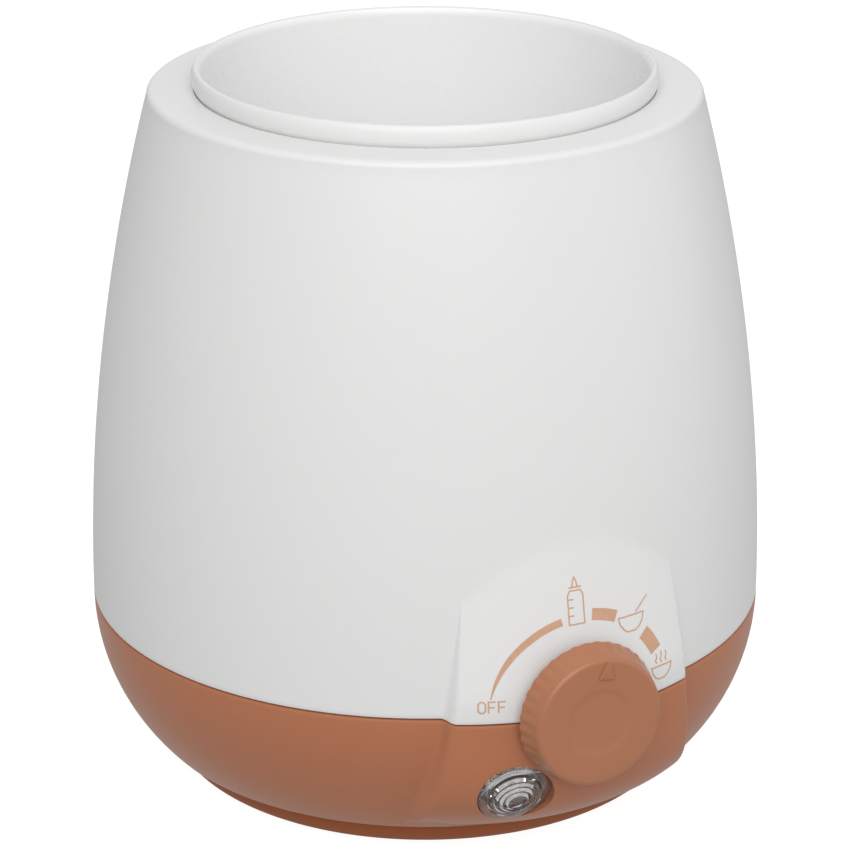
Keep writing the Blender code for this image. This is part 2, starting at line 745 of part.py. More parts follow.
def make_plate_screws(material):
    names = [
        "clamp_screw_left",
        "clamp_screw_right",
        "bracket_screw_left",
        "bracket_screw_right",
        "fuse_clip_screw",
    ]
    under_bracket = UNDER_BOSS - BRACKET_THICKNESS - GAP
    seats = [CLAMP_BOTTOM - GAP] * 2 + [under_bracket] * 2 + [UNDER_BOSS - FUSE_CLIP_THICKNESS - GAP]
    for name, seat, (x, y) in zip(names, seats, plate_screw_places()):
        low = seat - SCREW_HEAD_HEIGHT
        profile = screw_profile(SCREW_RADIUS, SCREW_HEAD_RADIUS, SCREW_HEAD_HEIGHT, low, seat, SCREW_TIP)
        place(turned(name, profile, material, SMALL_STEPS), location=(x, y, 0.0))


def heater_tab(side):
    """Middle of the outer edge of a heater tab, on the left (-1) or right (1)."""
    x = side * (HEATER_LENGTH / 2 + HEATER_TAB.x)
    return Vector((x, -side * HEATER_TAB_OFFSET, HEATER_BOTTOM + HEATER_THICKNESS / 2))


def make_ptc_heater(material):
    corner = Vector((HEATER_LENGTH / 2, HEATER_WIDTH / 2, 0.0))
    low = -corner + Vector((0.0, 0.0, HEATER_BOTTOM))
    heater = block("ptc_heater", low, corner + Vector((0.0, 0.0, UNDER_BOSS)), material)
    for side in (-1, 1):
        edge = heater_tab(side)
        inside = edge - Vector((side * (HEATER_TAB.x + HEATER_WIDTH / 4), 0.0, 0.0))
        half = Vector((0.0, HEATER_TAB.y / 2, HEATER_TAB.z / 2))
        left, right = sorted((edge, inside), key=lambda spot: spot.x)
        join(heater, block(f"heater_tab_{side}", left - half, right + half))


def make_mica_sheet(material):
    half = Vector((HEATER_LENGTH / 2 + MICA_MARGIN, HEATER_WIDTH / 2 + MICA_MARGIN, 0.0))
    low = -half + Vector((0.0, 0.0, MICA_BOTTOM))
    block("mica_sheet", low, half + Vector((0.0, 0.0, MICA_BOTTOM + MICA_THICKNESS)), material)


def make_heater_clamp(material):
    """Hat-section strip: its feet press up under the cup's ledge and its web carries the heater."""
    foot_top = LEDGE_BOTTOM - GAP
    foot_bottom = foot_top - CLAMP_THICKNESS
    leg = LEDGE_OPENING + GAP
    inner = leg - CLAMP_THICKNESS
    end = leg + CLAMP_FOOT
    right = [
        (leg, CLAMP_BOTTOM),
        (leg, foot_bottom),
        (end, foot_bottom),
        (end, foot_top),
        (inner, foot_top),
        (inner, CLAMP_TOP),
    ]
    outline = right + [(-x, z) for x, z in reversed(right)]
    upright = Matrix.Rotation(math.pi / 2, 4, "X")
    clamp = strip("heater_clamp", outline, CLAMP_WIDTH, upright, material)
    for side in (-1, 1):
        hole = rod(f"clamp_hole_{side}", SCREW_RADIUS + GAP, CLAMP_BOTTOM - GAP, CLAMP_TOP + GAP)
        cut(clamp, place(hole, location=(side * CLAMP_SCREW_X, 0.0, 0.0)))


def make_thermal_fuse(material):
    half = FUSE_LENGTH / 2
    end = half + FUSE_LEAD_LENGTH
    profile = [
        (0.0, end),
        (FUSE_LEAD_RADIUS, end),
        (FUSE_LEAD_RADIUS, half),
        (FUSE_RADIUS, half),
        (FUSE_RADIUS, -half),
        (FUSE_LEAD_RADIUS, -half),
        (FUSE_LEAD_RADIUS, -end),
        (0.0, -end),
    ]
    fuse = turned("thermal_fuse", profile, material, SMALL_STEPS)
    place(fuse, location=(0.0, FUSE_SETBACK, FUSE_HEIGHT), rotation=(0.0, math.pi / 2, 0.0))


def make_fuse_clip(material):
    """Strap that hooks under the fuse, with a foot screwed to the plate."""
    near = FUSE_SETBACK - FUSE_RADIUS - GAP
    far = FUSE_SETBACK + FUSE_RADIUS + GAP
    under = FUSE_HEIGHT - FUSE_RADIUS - GAP
    metal = FUSE_CLIP_THICKNESS
    foot = near - metal - FUSE_CLIP_FOOT
    outline = [
        (foot, UNDER_BOSS - metal),
        (near - metal, UNDER_BOSS - metal),
        (near - metal, under - metal),
        (far + metal, under - metal),
        (far + metal, FUSE_HEIGHT),
        (far, FUSE_HEIGHT),
        (far, under),
        (near, under),
        (near, UNDER_BOSS),
        (foot, UNDER_BOSS),
    ]
    across = Matrix(((0.0, 0.0, 1.0), (1.0, 0.0, 0.0), (0.0, 1.0, 0.0))).to_4x4()
    clip = strip("fuse_clip", outline, FUSE_CLIP_WIDTH, across, material)
    hole = rod("fuse_clip_hole", SCREW_RADIUS + GAP, CLAMP_BOTTOM, PLATE_BOTTOM)
    cut(clip, place(hole, location=(0.0, CLIP_SCREW_Y, 0.0)))


def make_thermostat_bracket(material, control_axis):
    """Steel angle: its upright carries the bush and the stack, its top flange is screwed to the plate."""
    right = STACK_OFFSET + BRACKET_MARGIN
    top = UNDER_BOSS - KNOB_AXIS_HEIGHT
    upright = block(
        "thermostat_bracket",
        (-BRACKET_LEFT, -BRACKET_BELOW, BRACKET_BACK),
        (right, top, BRACKET_FRONT),
        material,
    )
    place(upright, control_axis)
    flange_end = -HEATER_WIDTH / 2 - BRACKET_THICKNESS
    flange = block(
        "bracket_flange",
        (-BRACKET_LEFT, -CONSOLE_REACH - BRACKET_FRONT, UNDER_BOSS - BRACKET_THICKNESS),
        (BRACKET_LEFT, flange_end, UNDER_BOSS),
    )
    join(upright, flange)
    behind = BRACKET_BACK - GAP
    before = BRACKET_FRONT + GAP
    bush_hole = rod("bush_hole", SPINDLE_RADIUS + BUSH_WALL + 2 * GAP, behind, before)
    rivet_hole = rod("rivet_hole", RIVET_RADIUS + GAP, behind, before)
    cut(upright, place(bush_hole, control_axis))
    cut(upright, place(rivet_hole, control_axis, (STACK_OFFSET, 0.0, 0.0)))
    for side in (-1, 1):
        hole = rod(f"bracket_screw_hole_{side}", SCREW_RADIUS + GAP, CLAMP_BOTTOM, PLATE_BOTTOM)
        cut(upright, place(hole, location=(side * BRACKET_SCREW_SPREAD, BRACKET_SCREW_Y, 0.0)))


def make_spindle_bush(material, control_axis):
    neck = SPINDLE_RADIUS + BUSH_WALL + GAP
    bore = SPINDLE_RADIUS + GAP
    seat = BRACKET_FRONT + GAP
    profile = [
        (BUSH_FLANGE_RADIUS, seat + BUSH_FLANGE),
        (BUSH_FLANGE_RADIUS, seat),
        (neck, seat),
        (neck, BUSH_END),
        (bore, BUSH_END),
        (bore, seat + BUSH_FLANGE),
    ]
    place(turned("spindle_bush", profile, material, SMALL_STEPS, ring=True), control_axis)


def make_spindle(material, knob_axis):
    top = KNOB_BORE_TOP - GAP
    profile = [
        (0.0, top),
        (SPINDLE_RADIUS, top),
        (SPINDLE_RADIUS, BUSH_END),
        (SPINDLE_TIP_RADIUS, SPINDLE_END),
        (0.0, SPINDLE_END),
    ]
    spindle = place(turned("spindle", profile, material, SMALL_STEPS), knob_axis)
    flat_bottom = KNOB_BACK - HUB_LENGTH - GAP
    flat = block(
        "spindle_flat",
        (SPINDLE_FLAT, -HUB_RADIUS, flat_bottom),
        (HUB_RADIUS, HUB_RADIUS, top + GAP),
    )
    cut(spindle, place(flat, knob_axis))


def make_adjuster_pin(material, control_axis):
    head_top = SPINDLE_END - GAP
    shoulder = MOVING_LEAF + PIN_TRAVEL_GAP
    profile = [
        (0.0, head_top),
        (PIN_RADIUS, head_top),
        (PIN_RADIUS, shoulder),
        (PIN_TAIL_RADIUS, shoulder),
        (PIN_TAIL_RADIUS, shoulder - PIN_TAIL_LENGTH),
        (0.0, shoulder - PIN_TAIL_LENGTH),
    ]
    place(turned("adjuster_pin", profile, material, SMALL_STEPS), control_axis)


def make_contact_stack(materials, control_axis):
    """Ceramic spacers, two contact leaves and the bimetal blade on one rivet."""
    tops = {"front": SPACER_FRONT, "middle": SPACER_MIDDLE, "rear": SPACER_REAR}
    for name, top in tops.items():
        bore = RIVET_RADIUS + GAP
        bottom = top - SPACER_THICKNESS
        ceramic = materials["ceramic"]
        spacer = tube(f"stack_spacer_{name}", SPACER_RADIUS, bore, bottom, top, ceramic, SMALL_STEPS)
        place(spacer, control_axis, (STACK_OFFSET, 0.0, 0.0))
    moving = leaf("moving_contact_leaf", MOVING_LEAF, LEAF_THICKNESS, materials["bronze"], control_axis)
    pin_hole = rod("pin_hole", PIN_TAIL_RADIUS + GAP, FIXED_LEAF, BRACKET_BACK)
    cut(moving, place(pin_hole, control_axis))
    fixed = leaf("fixed_contact_leaf", FIXED_LEAF, LEAF_THICKNESS, materials["bronze"], control_axis)
    meeting = (MOVING_LEAF - LEAF_THICKNESS + FIXED_LEAF) / 2
    in_moving = MOVING_LEAF - LEAF_THICKNESS / 2
    in_fixed = FIXED_LEAF - LEAF_THICKNESS / 2
    upper = rod("moving_contact", CONTACT_RADIUS, meeting + CONTACT_GAP / 2, in_moving)
    lower = rod("fixed_contact", CONTACT_RADIUS, in_fixed, meeting - CONTACT_GAP / 2)
    join(moving, place(upper, control_axis, (CONTACT_OFFSET, 0.0, 0.0)))
    join(fixed, place(lower, control_axis, (CONTACT_OFFSET, 0.0, 0.0)))
    steel = materials["steel"]
    leaf("bimetal_blade", BIMETAL, BIMETAL_THICKNESS, steel, control_axis, tail=SPACER_RADIUS)
    make_stack_rivet(steel, control_axis)


def leaf(name, top, thickness, material, control_axis, tail=LEAF_TAIL):
    """Flat blade from the stack to just past the knob's axis, with a terminal tail beyond the stack."""
    neck = STACK_OFFSET + SPACER_RADIUS
    end = STACK_OFFSET + tail
    outline = [
        (-LEAF_REACH, -LEAF_WIDTH / 2),
        (neck, -LEAF_WIDTH / 2),
        (neck, LEAF_WIDTH / 2),
        (-LEAF_REACH, LEAF_WIDTH / 2),
    ]
    if end > neck:
        outline[2:2] = [
            (neck, -LEAF_TAIL_WIDTH / 2),
            (end, -LEAF_TAIL_WIDTH / 2),
            (end, LEAF_TAIL_WIDTH / 2),
            (neck, LEAF_TAIL_WIDTH / 2),
        ]
    blade = strip(name, outline, thickness, Matrix.Identity(4), material)
    place(blade, control_axis, (0.0, 0.0, top - thickness / 2))
    hole = rod(name + "_hole", RIVET_RADIUS + GAP, top - thickness - GAP, top + GAP)
    return cut(blade, place(hole, control_axis, (STACK_OFFSET, 0.0, 0.0)))


def make_stack_rivet(material, control_axis):
    front = BRACKET_FRONT + GAP
    profile = [
        (0.0, front + RIVET_HEAD),
        (RIVET_HEAD_RADIUS, front + RIVET_HEAD),
        (RIVET_HEAD_RADIUS, front),
        (RIVET_RADIUS, front),
        (RIVET_RADIUS, RIVET_END),
        (RIVET_HEAD_RADIUS, RIVET_END),
        (RIVET_HEAD_RADIUS, RIVET_END - RIVET_HEAD),
        (0.0, RIVET_END - RIVET_HEAD),
    ]
    place(turned("stack_rivet", profile, material, SMALL_STEPS), control_axis, (STACK_OFFSET, 0.0, 0.0))


def make_control_knob(material, knob_axis):
    """Hollow fluted knob with a dished face, a keyed hub and a raised pointer."""
    edge = (KNOB_FACE_RADIUS - KNOB_EDGE_ROUND, KNOB_FRONT - KNOB_EDGE_ROUND)
    dish = KNOB_FRONT - KNOB_DISH_DEPTH
    hub_end = KNOB_BACK - HUB_LENGTH
    profile = [
        (0.0, dish),
        (KNOB_DISH_RADIUS - 2 * KNOB_DISH_DEPTH, dish),
        (KNOB_DISH_RADIUS, KNOB_FRONT),
    ]
    profile += arc(edge, (KNOB_EDGE_ROUND, KNOB_EDGE_ROUND), math.pi / 2, 0.0, ROUND_STEPS)
    profile += [
        (KNOB_RADIUS, KNOB_BACK),
        (KNOB_RADIUS - KNOB_WALL, KNOB_BACK),
        (KNOB_FACE_RADIUS - KNOB_WALL, KNOB_BORE_TOP),
        (HUB_RADIUS, KNOB_BORE_TOP),
        (HUB_RADIUS, hub_end),
        (0.0, hub_end),
    ]
    knob = turned("control_knob", profile, material, 2 * KNOB_FLUTES)
    carve_flutes(knob)
    place(knob, knob_axis)
    bore = rod("knob_bore", SPINDLE_RADIUS + GAP, hub_end - GAP, KNOB_BORE_TOP)
    key = block(
        "knob_key",
        (SPINDLE_FLAT + GAP, -HUB_RADIUS, hub_end - 2 * GAP),
        (HUB_RADIUS, HUB_RADIUS, KNOB_FRONT),
    )
    cut(bore, place(key, knob_axis))
    cut(knob, place(bore, knob_axis))
    join(knob, place(pointer(), knob_axis))


def carve_flutes(knob):
    """Draw every other facet edge of the skirt inwards."""
    for vertex in knob.data.vertices:
        radius = math.hypot(vertex.co.x, vertex.co.y)
        outer_skirt = radius > KNOB_FACE_RADIUS - KNOB_EDGE_ROUND / 2 and vertex.co.z > KNOB_BACK - GAP
        step = round(math.atan2(vertex.co.y, vertex.co.x) * KNOB_FLUTES / math.pi)
        if outer_skirt and step % 2:
            vertex.co.x *= 1 - KNOB_FLUTE_DEPTH / radius
            vertex.co.y *= 1 - KNOB_FLUTE_DEPTH / radius


def pointer():
    """Low triangular prism on the knob's face, pointing outwards."""
    form = bmesh.new()
    height = POINTER_PROUD + KNOB_WALL / 2
    centre = Matrix.Translation((0.0, POINTER_RADIUS, KNOB_FRONT + POINTER_PROUD - height / 2))
    bmesh.ops.create_cone(
        form,
        cap_ends=True,
        segments=3,
        radius1=POINTER_SIZE,
        radius2=POINTER_SIZE,
        depth=height,
        matrix=centre,
    )
    mesh = bpy.data.meshes.new("pointer")
    form.to_mesh(mesh)
    form.free()
    return add_object("pointer", mesh)


def make_lamp(materials, lens_axis):
    """Lens with a tubular neck, the holder pushed on the neck and the neon lamp in the holder."""
    seat = -LENS_SINK + GAP
    front = seat + LENS_THICKNESS
    neck_bore = LENS_NECK_RADIUS - LENS_NECK_WALL
    neck_end = seat - LENS_NECK_LENGTH
    lens_profile = [
        (0.0, front),
        (LENS_RADIUS - LENS_THICKNESS, front),
        (LENS_RADIUS, front - LENS_THICKNESS / 2),
        (LENS_RADIUS, seat),
        (LENS_NECK_RADIUS, seat),
        (LENS_NECK_RADIUS, neck_end),
        (neck_bore, neck_end),
        (neck_bore, seat),
        (0.0, seat),
    ]
    place(turned("lamp_lens", lens_profile, materials["clear"]), lens_axis)
    sleeve = LENS_NECK_RADIUS + GAP
    inner = LAMP_RADIUS + GAP
    holder_top = neck_end + HOLDER_OVERLAP
    step = neck_end - GAP
    holder_end = step - HOLDER_SLEEVE
    holder_profile = [
        (sleeve + HOLDER_WALL, holder_top),
        (sleeve + HOLDER_WALL, step - HOLDER_WALL),
        (inner + HOLDER_WALL, step - HOLDER_WALL),
        (inner + HOLDER_WALL, holder_end),
        (inner, holder_end),
        (inner, step),
        (sleeve, step),
        (sleeve, holder_top),
    ]
    place(turned("lamp_holder", holder_profile, materials["ivory"], ring=True), lens_axis)
    lamp_front = seat - LAMP_DEPTH
    lamp_end = lamp_front - LAMP_LENGTH
    dome = (0.0, lamp_front - LAMP_RADIUS)
    lamp_profile = arc(dome, (LAMP_RADIUS, LAMP_RADIUS), math.pi / 2, 0.0, ROUND_STEPS)
    lamp_profile += [(LAMP_RADIUS, lamp_end), (0.0, lamp_end)]
    lamp = place(turned("neon_lamp", lamp_profile, materials["clear"], SMALL_STEPS), lens_axis)
    wire_end = lamp_end - LAMP_LEAD_LENGTH
    for side in (-1, 1):
        wire = rod(f"lamp_wire_{side}", LAMP_LEAD_RADIUS, wire_end, lamp_end + LAMP_RADIUS / 2)
        join(lamp, place(wire, lens_axis, (side * LAMP_RADIUS / 2, 0.0, 0.0)))


def lamp_wire_end(side):
    """World place of the end of a lamp wire."""
    depth = -LENS_SINK + GAP - LAMP_DEPTH - LAMP_LENGTH - LAMP_LEAD_LENGTH - GAP
    return bpy.data.objects["lens_axis"].matrix_world @ Vector((side * LAMP_RADIUS / 2, 0.0, depth))


def make_bottom_cover(material):
    rim = base_radius(BASE_BOTTOM) - COVER_INSET
    flat = rim - COVER_ROUND
    ring = FLANGE_OPENING + COVER_RING_MARGIN
    profile = [
        (0.0, COVER_FLOOR_TOP),
        (ring - COVER_RING_MARGIN, COVER_FLOOR_TOP),
        (ring, COVER_TOP),
    ]
    profile += arc((flat, COVER_TOP), (COVER_ROUND, -COVER_DEPTH), 0.0, math.pi / 2, PROFILE_STEPS)
    profile.append((0.0, COVER_BOTTOM))
    cover = turned("bottom_cover", profile, material, LARGE_STEPS)
    sunk = COVER_BOTTOM + CASE_SCREW_SINK + CASE_SCREW_HEAD_HEIGHT + GAP
    for i, angle in enumerate(spread(BOSS_COUNT, math.pi / BOSS_COUNT), 1):
        hole = rod(f"cover_hole_{i}", CASE_SCREW_RADIUS + GAP, 0.0, BASE_BOTTOM)
        head = rod(f"cover_counterbore_{i}", CASE_SCREW_HEAD_RADIUS + GAP, 0.0, sunk)
        seat = polar(BOSS_CIRCLE, angle, 0.0)
        cut(cover, place(hole, location=seat))
        cut(cover, place(head, location=seat))
    for i, angle in enumerate(spread(FOOT_COUNT), 1):
        pocket_top = COVER_BOTTOM + FOOT_SEAT
        pocket = rod(f"foot_pocket_{i}", FOOT_RADIUS + GAP, 0.0, pocket_top, steps=MEDIUM_STEPS)
        cut(cover, place(pocket, location=polar(FOOT_CIRCLE, angle, 0.0)))
    hole_bottom = COVER_FLOOR_TOP - TERMINAL_SCREW_DEPTH
    screw_hole = rod("terminal_screw_hole", SCREW_RADIUS + GAP, hole_bottom, SEAM)
    cut(cover, place(screw_hole, location=terminal_screw_place()))


def make_case_screws(material):
    low = COVER_BOTTOM + CASE_SCREW_SINK
    seat = low + CASE_SCREW_HEAD_HEIGHT
    tip = FLANGE_TOP + CASE_SCREW_GRIP
    head_radius = CASE_SCREW_HEAD_RADIUS
    profile = screw_profile(CASE_SCREW_RADIUS, head_radius, CASE_SCREW_HEAD_HEIGHT, low, seat, tip)
    for i, angle in enumerate(spread(BOSS_COUNT, math.pi / BOSS_COUNT), 1):
        screw = turned(f"case_screw_{i}", profile, material, SMALL_STEPS)
        place(screw, location=polar(BOSS_CIRCLE, angle, 0.0))


def make_rubber_feet(material):
    top = COVER_BOTTOM + FOOT_SEAT - GAP
    soft = FOOT_PROUD / 3
    profile = [(0.0, top), (FOOT_RADIUS, top), (FOOT_RADIUS, soft), (FOOT_RADIUS - soft, 0.0), (0.0, 0.0)]
    for i, angle in enumerate(spread(FOOT_COUNT), 1):
        foot = turned(f"rubber_foot_{i}", profile, material, MEDIUM_STEPS)
        place(foot, location=polar(FOOT_CIRCLE, angle, 0.0))


def make_cable_gland(materials, cable_axis):
    nut_top = -INLET_BOSS - GAP
    nut_end = nut_top - GLAND_NUT
    neck_end = nut_end - GLAND_TAIL
    profile = [
        (GLAND_FLANGE_RADIUS - GLAND_FLANGE / 2, GAP + GLAND_FLANGE),
        (GLAND_FLANGE_RADIUS, GAP + GLAND_FLANGE / 2),
        (GLAND_FLANGE_RADIUS, GAP),
        (GLAND_NECK_RADIUS, GAP),
        (GLAND_NECK_RADIUS, neck_end),
        (GLAND_BORE_RADIUS, neck_end),
        (GLAND_BORE_RADIUS, GAP + GLAND_FLANGE),
    ]
    black = materials["black"]
    nut_bore = GLAND_NECK_RADIUS + GAP
    place(turned("cable_gland", profile, black, ring=True), cable_axis)
    nut = tube("gland_nut", GLAND_NUT_RADIUS, nut_bore, nut_end, nut_top, black, GLAND_NUT_SIDES)
    bore = rod("gland_nut_bore", nut_bore, nut_end - GAP, nut_top + GAP, steps=MEDIUM_STEPS)
    place(nut, cable_axis)
    cut(nut, place(bore, cable_axis))


def terminal_screw_place():
    return Vector((TERMINAL_PITCH / 2, TERMINAL_SETBACK, 0.0))


def terminal_hole(pole):
    """World place of a lead's end in the block's front, for pole -1, 0 or 1."""
    y = TERMINAL_SETBACK - TERMINAL_SIZE.y / 2 + LEAD_ENTRY
    return Vector((pole * TERMINAL_PITCH, y, TERMINAL_HOLE_HEIGHT))


def make_terminal_block(materials):
    half = Vector((TERMINAL_SIZE.x / 2, TERMINAL_SIZE.y / 2, 0.0))
    middle = Vector((0.0, TERMINAL_SETBACK, TERMINAL_BOTTOM))
    top = Vector((0.0, 0.0, TERMINAL_SIZE.z))
    body = block("terminal_block", middle - half, middle + half + top, materials["ivory"])
    for pole in (-1, 0, 1):
        for side in (-1, 1):
            depth = TERMINAL_HOLE_DEPTH
            hole = rod(f"terminal_hole_{pole}_{side}", LEAD_RADIUS + RUNNING_GAP, -depth, depth)
            face = middle + Vector((pole * TERMINAL_PITCH, side * half.y, TERMINAL_SIZE.z / 2))
            cut(body, place(hole, location=face, rotation=(math.pi / 2, 0.0, 0.0)))
    seat = TERMINAL_BOTTOM + TERMINAL_SIZE.z + GAP
    tip = COVER_FLOOR_TOP - TERMINAL_SCREW_DEPTH + GAP
    shaft = rod("terminal_shaft", SCREW_RADIUS + GAP, COVER_BOTTOM, seat + GAP)
    cut(body, place(shaft, location=terminal_screw_place()))
    low = seat - SCREW_HEAD_HEIGHT
    upward = screw_profile(SCREW_RADIUS, SCREW_HEAD_RADIUS, SCREW_HEAD_HEIGHT, low, seat, 2 * seat - tip)
    downward = [(radius, 2 * seat - height) for radius, height in reversed(upward)]
    screw = turned("terminal_screw", downward, materials["steel"], SMALL_STEPS)
    place(screw, location=terminal_screw_place())


def leaf_tail(depth, shift):
    """World place just past a leaf's terminal tail."""
    local = Vector((STACK_OFFSET + LEAF_TAIL + GAP, shift, depth - LEAF_THICKNESS / 2))
    return bpy.data.objects["control_axis"].matrix_world @ local


def route(points):
    """Smooth curve through a lead's own points."""
    ends = [2 * points[0] - points[1]] + points + [2 * points[-1] - points[-2]]
    path = []
    for a, b, c, d in zip(ends, ends[1:], ends[2:], ends[3:]):
        for i in range(LEAD_SAMPLES):
            t = i / LEAD_SAMPLES
            path.append(0.5 * (2 * b + (c - a) * t + (2 * a - 5 * b + 4 * c - d) * t ** 2
                               + (3 * b - a - 3 * c + d) * t ** 3))
    path.append(points[-1])
    return path


def lead(name, material, start, end):
    """Wire between two (place, way out) ends, which it leaves and meets squarely."""
    curve = bpy.data.curves.new(name, "CURVE")
    curve.dimensions = "3D"
    curve.bevel_depth = LEAD_RADIUS
    curve.bevel_resolution = 2
    curve.use_fill_caps = True
    leave, meet = [[spot, spot + LEAD_STUB * way] for spot, way in (start, end)]
    first, last = LEAD_ROUTES[name]
    leave += [start[0] + Vector(offset) for offset in first]
    path = route(leave + [end[0] + Vector(offset) for offset in last] + meet[::-1])
    spline = curve.splines.new("POLY")
    spline.points.add(len(path) - 1)
    for point, spot in zip(spline.points, path):
        point.co = (*spot, 1.0)
    curve.materials.append(material)
    bpy.data.collections[PARTS_NAME].objects.link(bpy.data.objects.new(name, curve))


def make_leads(materials):
    """Wires between the terminal block, the thermostat, the fuse, the heater and the lamp."""
    right = Vector((1.0, 0.0, 0.0))
    forwards = Vector((0.0, -1.0, 0.0))
    inwards = -bpy.data.objects["lens_axis"].matrix_world.to_3x3().col[2]
    fuse_end = FUSE_LENGTH / 2 + FUSE_LEAD_LENGTH + GAP
    fuse_middle = Vector((0.0, FUSE_SETBACK, FUSE_HEIGHT))
    line = materials["brown"]
    neutral = materials["blue"]
    live_tail = leaf_tail(MOVING_LEAF, 0.0)
    switched_tail = leaf_tail(FIXED_LEAF, LEAD_SPLIT / 2)
    lamp_tail = leaf_tail(FIXED_LEAF, -LEAD_SPLIT / 2)
    fuse_right = fuse_middle + fuse_end * right
    fuse_left = fuse_middle - fuse_end * right
    lead("line_lead", line, (live_tail, right), (terminal_hole(1), forwards))
    lead("switched_lead", line, (switched_tail, right), (fuse_right, right))
    lead("fuse_lead", line, (fuse_left, -right), (heater_tab(-1) - GAP * right, -right))
    lead("neutral_lead", neutral, (heater_tab(1) + GAP * right, right), (terminal_hole(0), forwards))
    lead("lamp_line_lead", line, (lamp_wire_end(1), inwards), (lamp_tail, right))
    lead("lamp_neutral_lead", neutral, (lamp_wire_end(-1), inwards), (terminal_hole(-1), forwards))


def make_materials():
    return {
        "white": make_material("gloss_white", (0.78, 0.78, 0.77), 0.22),
        "caramel": make_material("caramel_plastic", (0.40, 0.17, 0.08), 0.35),
        "umber": make_material("umber_plastic", (0.20, 0.07, 0.03), 0.45),
        "clear": make_material("clear_plastic", (0.85, 0.86, 0.88), 0.08, alpha=0.35),
        "aluminium": make_material("aluminium", (0.77, 0.78, 0.80), 0.35, 1.0),
        "steel": make_material("zinc_steel", (0.62, 0.62, 0.64), 0.38, 1.0),
        "brass": make_material("brass", (0.72, 0.55, 0.24), 0.30, 1.0),
        "bronze": make_material("spring_bronze", (0.66, 0.42, 0.22), 0.35, 1.0),
        "ceramic": make_material("ceramic", (0.80, 0.78, 0.72), 0.60),
        "mica": make_material("mica", (0.62, 0.55, 0.42), 0.50),
        "silicone": make_material("silicone", (0.70, 0.32, 0.22), 0.60),
        "rubber": make_material("rubber", (0.05, 0.05, 0.05), 0.80),
        "black": make_material("black_nylon", (0.03, 0.03, 0.03), 0.45),
        "ivory": make_material("ivory_nylon", (0.80, 0.77, 0.68), 0.45),
        "brown": make_material("brown_insulation", (0.20, 0.09, 0.05), 0.50),
        "blue": make_material("blue_insulation", (0.05, 0.16, 0.45), 0.50),
    }


def make_frames():
    """Axes of the control, of the knob at its rest angle, of the lens and of the cord inlet."""
    outwards = Matrix.Rotation(math.pi / 2, 4, "X")
    control_place = Matrix.Translation((0.0, -CONSOLE_REACH, KNOB_AXIS_HEIGHT))
    control = add_frame("control_axis", control_place @ outwards)
    knob = add_frame("knob_axis", control.matrix_world @ Matrix.Rotation(-POINTER_REST, 4, "Z"))
    lens_height = SEAM - LENS_DROP
    lens_place = Vector((-LENS_OFFSET, console_front(-LENS_OFFSET, lens_height), lens_height))
    aim = Matrix.Rotation(LENS_YAW, 4, "Z") @ Matrix.Rotation(math.pi / 2 + LENS_PITCH, 4, "X")
    lens = add_frame("lens_axis", Matrix.Translation(lens_place) @ aim)
    inlet_height = SEAM - INLET_DROP
    inlet_place = Vector((0.0, base_radius(inlet_height) - INLET_SEAT_DEPTH, inlet_height))
    rearwards = Matrix.Rotation(-math.pi / 2, 4, "X")
    cable = add_frame("cable_axis", Matrix.Translation(inlet_place) @ rearwards)
    bpy.context.view_layer.update()
    return control, knob, lens, cable


def make_hub_hole(control_axis):
    """Cutter for the knob's hub, through the face that the two shells share."""
    radius = HUB_RADIUS + RUNNING_GAP
    hole = rod("hub_hole", radius, -THERMOSTAT_DEPTH, KNOB_HEIGHT, steps=MEDIUM_STEPS)
    place(hole, control_axis)


def main():
    clear_scene()
    new_collection(PARTS_NAME)
    new_collection(CUTTERS_NAME)
    materials = make_materials()
    control_axis, knob_axis, lens_axis, cable_axis = make_frames()
    make_hub_hole(control_axis)
    cavity = make_cavity()
    console = console_form("console", 0.0, 0.0, BASE_BOTTOM + GAP)
    make_upper_housing(materials["white"], console, cavity)
    make_base_shell(materials["caramel"], console, cavity)
    make_water_cup(materials["white"])
    make_plate_seal(materials["silicone"])
    make_heating_plate(materials["aluminium"])
    make_plate_screws(materials["steel"])
    make_ptc_heater(materials["aluminium"])
    make_mica_sheet(materials["mica"])
    make_heater_clamp(materials["steel"])
    make_thermal_fuse(materials["ceramic"])
    make_fuse_clip(materials["steel"])
    make_thermostat_bracket(materials["steel"], control_axis)
    make_spindle_bush(materials["brass"], control_axis)
    make_spindle(materials["brass"], knob_axis)
    make_adjuster_pin(materials["ceramic"], control_axis)
    make_contact_stack(materials, control_axis)
    make_control_knob(materials["caramel"], knob_axis)
    make_lamp(materials, lens_axis)
    make_bottom_cover(materials["umber"])
    make_case_screws(materials["steel"])
    make_rubber_feet(materials["rubber"])
    make_cable_gland(materials, cable_axis)
    make_terminal_block(materials)
    make_leads(materials)


main()
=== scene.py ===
"""Looks of a bottle warmer: shells, cup, knob, lens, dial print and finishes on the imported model."""

import math

import bmesh
import bpy
import numpy as np
from mathutils import Matrix, Vector


